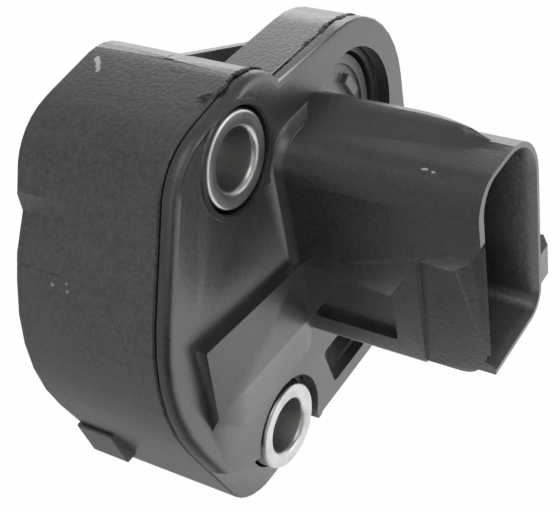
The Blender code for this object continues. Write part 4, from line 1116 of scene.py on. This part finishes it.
@dataclass
class InnerNodes:
    """The CAD nodes that stay as they are and only get a better material."""

    pairs: tuple[tuple[str, str], ...] = (
        ("wiper_carrier", "inner_pbt"),
        ("outer_brush", "tinned_brass"),
        ("inner_brush", "tinned_brass"),
        ("element_board", "alumina"),
        ("resistive_track", "carbon_ink"),
        ("collector_track", "carbon_ink"),
    )

    def build(self, finishes: Finishes) -> None:
        """Assigns each node's material.

        Args:
            finishes: The finishes.
        """
        for node, finish in self.pairs:
            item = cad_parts[node]
            item.data.materials.clear()
            item.data.materials.append(finishes[finish])
            LOG.info("%s keeps its solid, in %s", node, finish)


@dataclass(frozen=True)
class Softbox:
    """A lit rectangle that faces the object.

    Attributes:
        towards: The direction from the object to the lamp.
        brightness: Its surface's brightness, where 1 is white.
    """

    name: str
    towards: Triple
    distance: float
    size: Pair
    brightness: float

    def build(self, middle: Vector) -> None:
        """Hangs the lamp.

        Args:
            middle: The point that it faces.
        """
        data = bpy.data.lights.new(self.name, "AREA")
        data.shape = "RECTANGLE"
        data.size, data.size_y = self.size
        data.energy = self.brightness * math.pi * self.size[0] * self.size[1]
        lamp = bpy.data.objects.new(self.name, data)
        direction = Vector(self.towards).normalized()
        lamp.location = middle + direction * self.distance
        lamp.rotation_mode = "QUATERNION"
        lamp.rotation_quaternion = direction.to_track_quat("Z", "Y")
        bpy.context.scene.collection.objects.link(lamp)


@dataclass
class Studio:
    """The floor, the lamps, the world and the camera.

    Attributes:
        right: The picture's right in the object's frame.
        ahead: The camera's line of sight.
        sky_band: The heights between which the band in reflections fades.
        sky_top: The brightness that it fades to.
        sky_side: The turns towards +Y between which it grows.
        pool_towards: The direction in which the floor's painted pool of light grows bright in reflections.
        pool_edges: The distances along it between which it does.
        pool_shades: The floor's painted brightness in reflections at its left and right.
        pool_turn: The x between which that changes.
        patch_right: The x between which a painted bright patch at its near right grows, and patch_near the
            y.
    """

    eye: Triple = (0.07012, -0.06562, 0.07159)
    right: Triple = (0.8417, 0.5211, -0.1417)
    ahead: Triple = (-0.4869, 0.6188, -0.6165)
    focal_pixels: float = 1277.1
    width_pixels: float = 560.0
    floor_gap: float = 0.0004
    floor_reach: float = 3.0
    floor_white: float = 0.985
    world: float = 0.32
    sky_band: Pair = (0.12, 0.52)
    sky_top: float = 0.22
    sky_side: Pair = (0.0, 0.7)
    pool_towards: Triple = (0.30, 0.95, 0.0)
    pool_edges: Pair = (-0.008, 0.003)
    pool_shades: Pair = (0.36, 0.08)
    pool_turn: Pair = (0.012, 0.026)
    patch_right: Pair = (0.030, 0.038)
    patch_near: Pair = (-0.036, -0.026)
    lamps: tuple[Softbox, ...] = (
        Softbox("top_softbox", (0.30, -0.30, 0.90), 0.45, (0.30, 0.30), 1.0),
        Softbox("right_softbox", (0.86, 0.45, 0.20), 0.40, (0.24, 0.24), 1.0),
        Softbox("front_fill", (0.35, -0.85, 0.30), 0.55, (0.30, 0.30), 0.35),
        Softbox("back_strip", (-0.50, 0.84, 0.24), 0.45, (0.36, 0.12), 1.8),
    )

    def build(self, low: Vector, high: Vector) -> None:
        """Sets up all of it round the object's box.

        Args:
            low: The box's lowest corner.
            high: The box's highest corner.
        """
        bpy.context.scene.view_settings.view_transform = "Standard"
        self._camera()
        self._world()
        self._floor(low.z - self.floor_gap)
        for lamp in self.lamps:
            lamp.build((low + high) / 2)

    def _camera(self) -> None:
        """Sets the photograph's camera from its axes."""
        ahead = Vector(self.ahead).normalized()
        down = ahead.cross(Vector(self.right).normalized()).normalized()
        right = down.cross(ahead).normalized()
        turn = Matrix((right, -down, -ahead)).transposed().to_4x4()
        turn.translation = Vector(self.eye)
        lens = bpy.data.cameras.new("camera")
        lens.sensor_width = 36.0
        lens.sensor_fit = "HORIZONTAL"
        lens.lens = self.focal_pixels * lens.sensor_width / self.width_pixels
        lens.clip_start = 0.005
        lens.clip_end = 20.0
        camera = bpy.data.objects.new("camera", lens)
        camera.matrix_world = turn
        bpy.context.scene.collection.objects.link(camera)
        bpy.context.scene.camera = camera

    def _world(self) -> None:
        """A white backdrop for the camera, a band of it low in reflections, and a pale sky for light."""
        world = bpy.data.worlds.new("studio")
        bpy.context.scene.world = world
        world.use_nodes = True
        tree = world.node_tree
        tree.nodes.clear()
        path = add_node(tree, "ShaderNodeLightPath")
        rays = (path.outputs["Is Camera Ray"], path.outputs["Is Transmission Ray"])
        seen = arithmetic(tree, "MAXIMUM", *rays)
        towards = add_node(tree, "ShaderNodeTexCoord").outputs["Generated"]
        parts = add_node(tree, "ShaderNodeSeparateXYZ", {0: towards})
        band = ramp(tree, parts.outputs["Z"], *self.sky_band, 1.0, self.sky_top)
        side = ramp(tree, parts.outputs["Y"], *self.sky_side, self.sky_top, 1.0)
        band = arithmetic(tree, "MULTIPLY", band, side)
        band = arithmetic(tree, "MULTIPLY", band, path.outputs["Is Glossy Ray"])
        base = arithmetic(tree, "MAXIMUM", band, self.world)
        strength = arithmetic(tree, "MAXIMUM", seen, base)
        sky = add_node(tree, "ShaderNodeBackground", {"Color": linear("#ffffff"), "Strength": strength})
        add_node(tree, "ShaderNodeOutputWorld", {"Surface": sky.outputs[0]})

    def _floor(self, height: float) -> None:
        """A wide white floor that shows nearly white to the camera and keeps a soft shadow.

        Args:
            height: The floor's z.
        """
        corners = np.array([[-1, -1], [1, -1], [1, 1], [-1, 1]], float) * self.floor_reach
        points = np.column_stack([corners, np.full(4, height)])
        mesh = bpy.data.meshes.new("floor")
        mesh.from_pydata(points.tolist(), [], [(0, 1, 2, 3)])
        floor = bpy.data.objects.new("floor", mesh)
        bpy.context.scene.collection.objects.link(floor)
        made, tree = new_material("paper")
        path = add_node(tree, "ShaderNodeLightPath")
        paper = add_node(tree, "ShaderNodeBsdfDiffuse", {"Color": linear("#f2f2f2")})
        white = add_node(tree, "ShaderNodeEmission", {"Color": linear("#ffffff"), "Strength": 1.0})
        place = add_node(tree, "ShaderNodeTexCoord").outputs["Object"]
        inputs = {0: place, 1: self.pool_towards}
        along = add_node(tree, "ShaderNodeVectorMath", inputs, operation="DOT_PRODUCT").outputs["Value"]
        parts = add_node(tree, "ShaderNodeSeparateXYZ", {0: place})
        right = parts.outputs["X"]
        # Painted pool of light and painted shade: in reflections the floor glows by place, not by the
        # lamps.
        pool = ramp(tree, along, *self.pool_edges, 0.0, 1.0)
        pool = arithmetic(tree, "MAXIMUM", pool, ramp(tree, right, *self.pool_turn, *self.pool_shades))
        # Painted bright patch at the floor's near right, seen only in reflections.
        patch = ramp(tree, parts.outputs["Y"], *self.patch_near, 0.0, 1.0)
        patch = arithmetic(tree, "MULTIPLY", patch, ramp(tree, right, *self.patch_right, 0.0, 1.0))
        pool = arithmetic(tree, "MAXIMUM", pool, patch)
        pool = arithmetic(tree, "MAXIMUM", pool, path.outputs["Is Camera Ray"])
        tree.links.new(pool, white.inputs["Strength"])
        share = arithmetic(tree, "MULTIPLY", path.outputs["Is Camera Ray"], self.floor_white)
        share = arithmetic(tree, "MAXIMUM", share, path.outputs["Is Glossy Ray"])
        inputs = {0: share, 1: paper.outputs[0], 2: white.outputs[0]}
        mixed = add_node(tree, "ShaderNodeMixShader", inputs)
        add_node(tree, "ShaderNodeOutputMaterial", {"Surface": mixed.outputs[0]})
        mesh.materials.append(made)
        floor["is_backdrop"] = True


def main() -> None:
    """Builds the studio, the finishes and each sub-assembly."""
    logging.basicConfig(level=logging.INFO, format="%(message)s")
    low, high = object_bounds()
    Studio().build(low, high)
    finishes = Finishes()
    finishes.build()
    fittings = (Sleeves(), TowerDisc(), Blades(), BackFittings(), RotorParts(), InnerNodes())
    for group in (Mouldings(), WeldFlash(), *fittings):
        LOG.info("building %s", type(group).__name__)
        group.build(finishes)


if __name__ == "__main__":
    main()
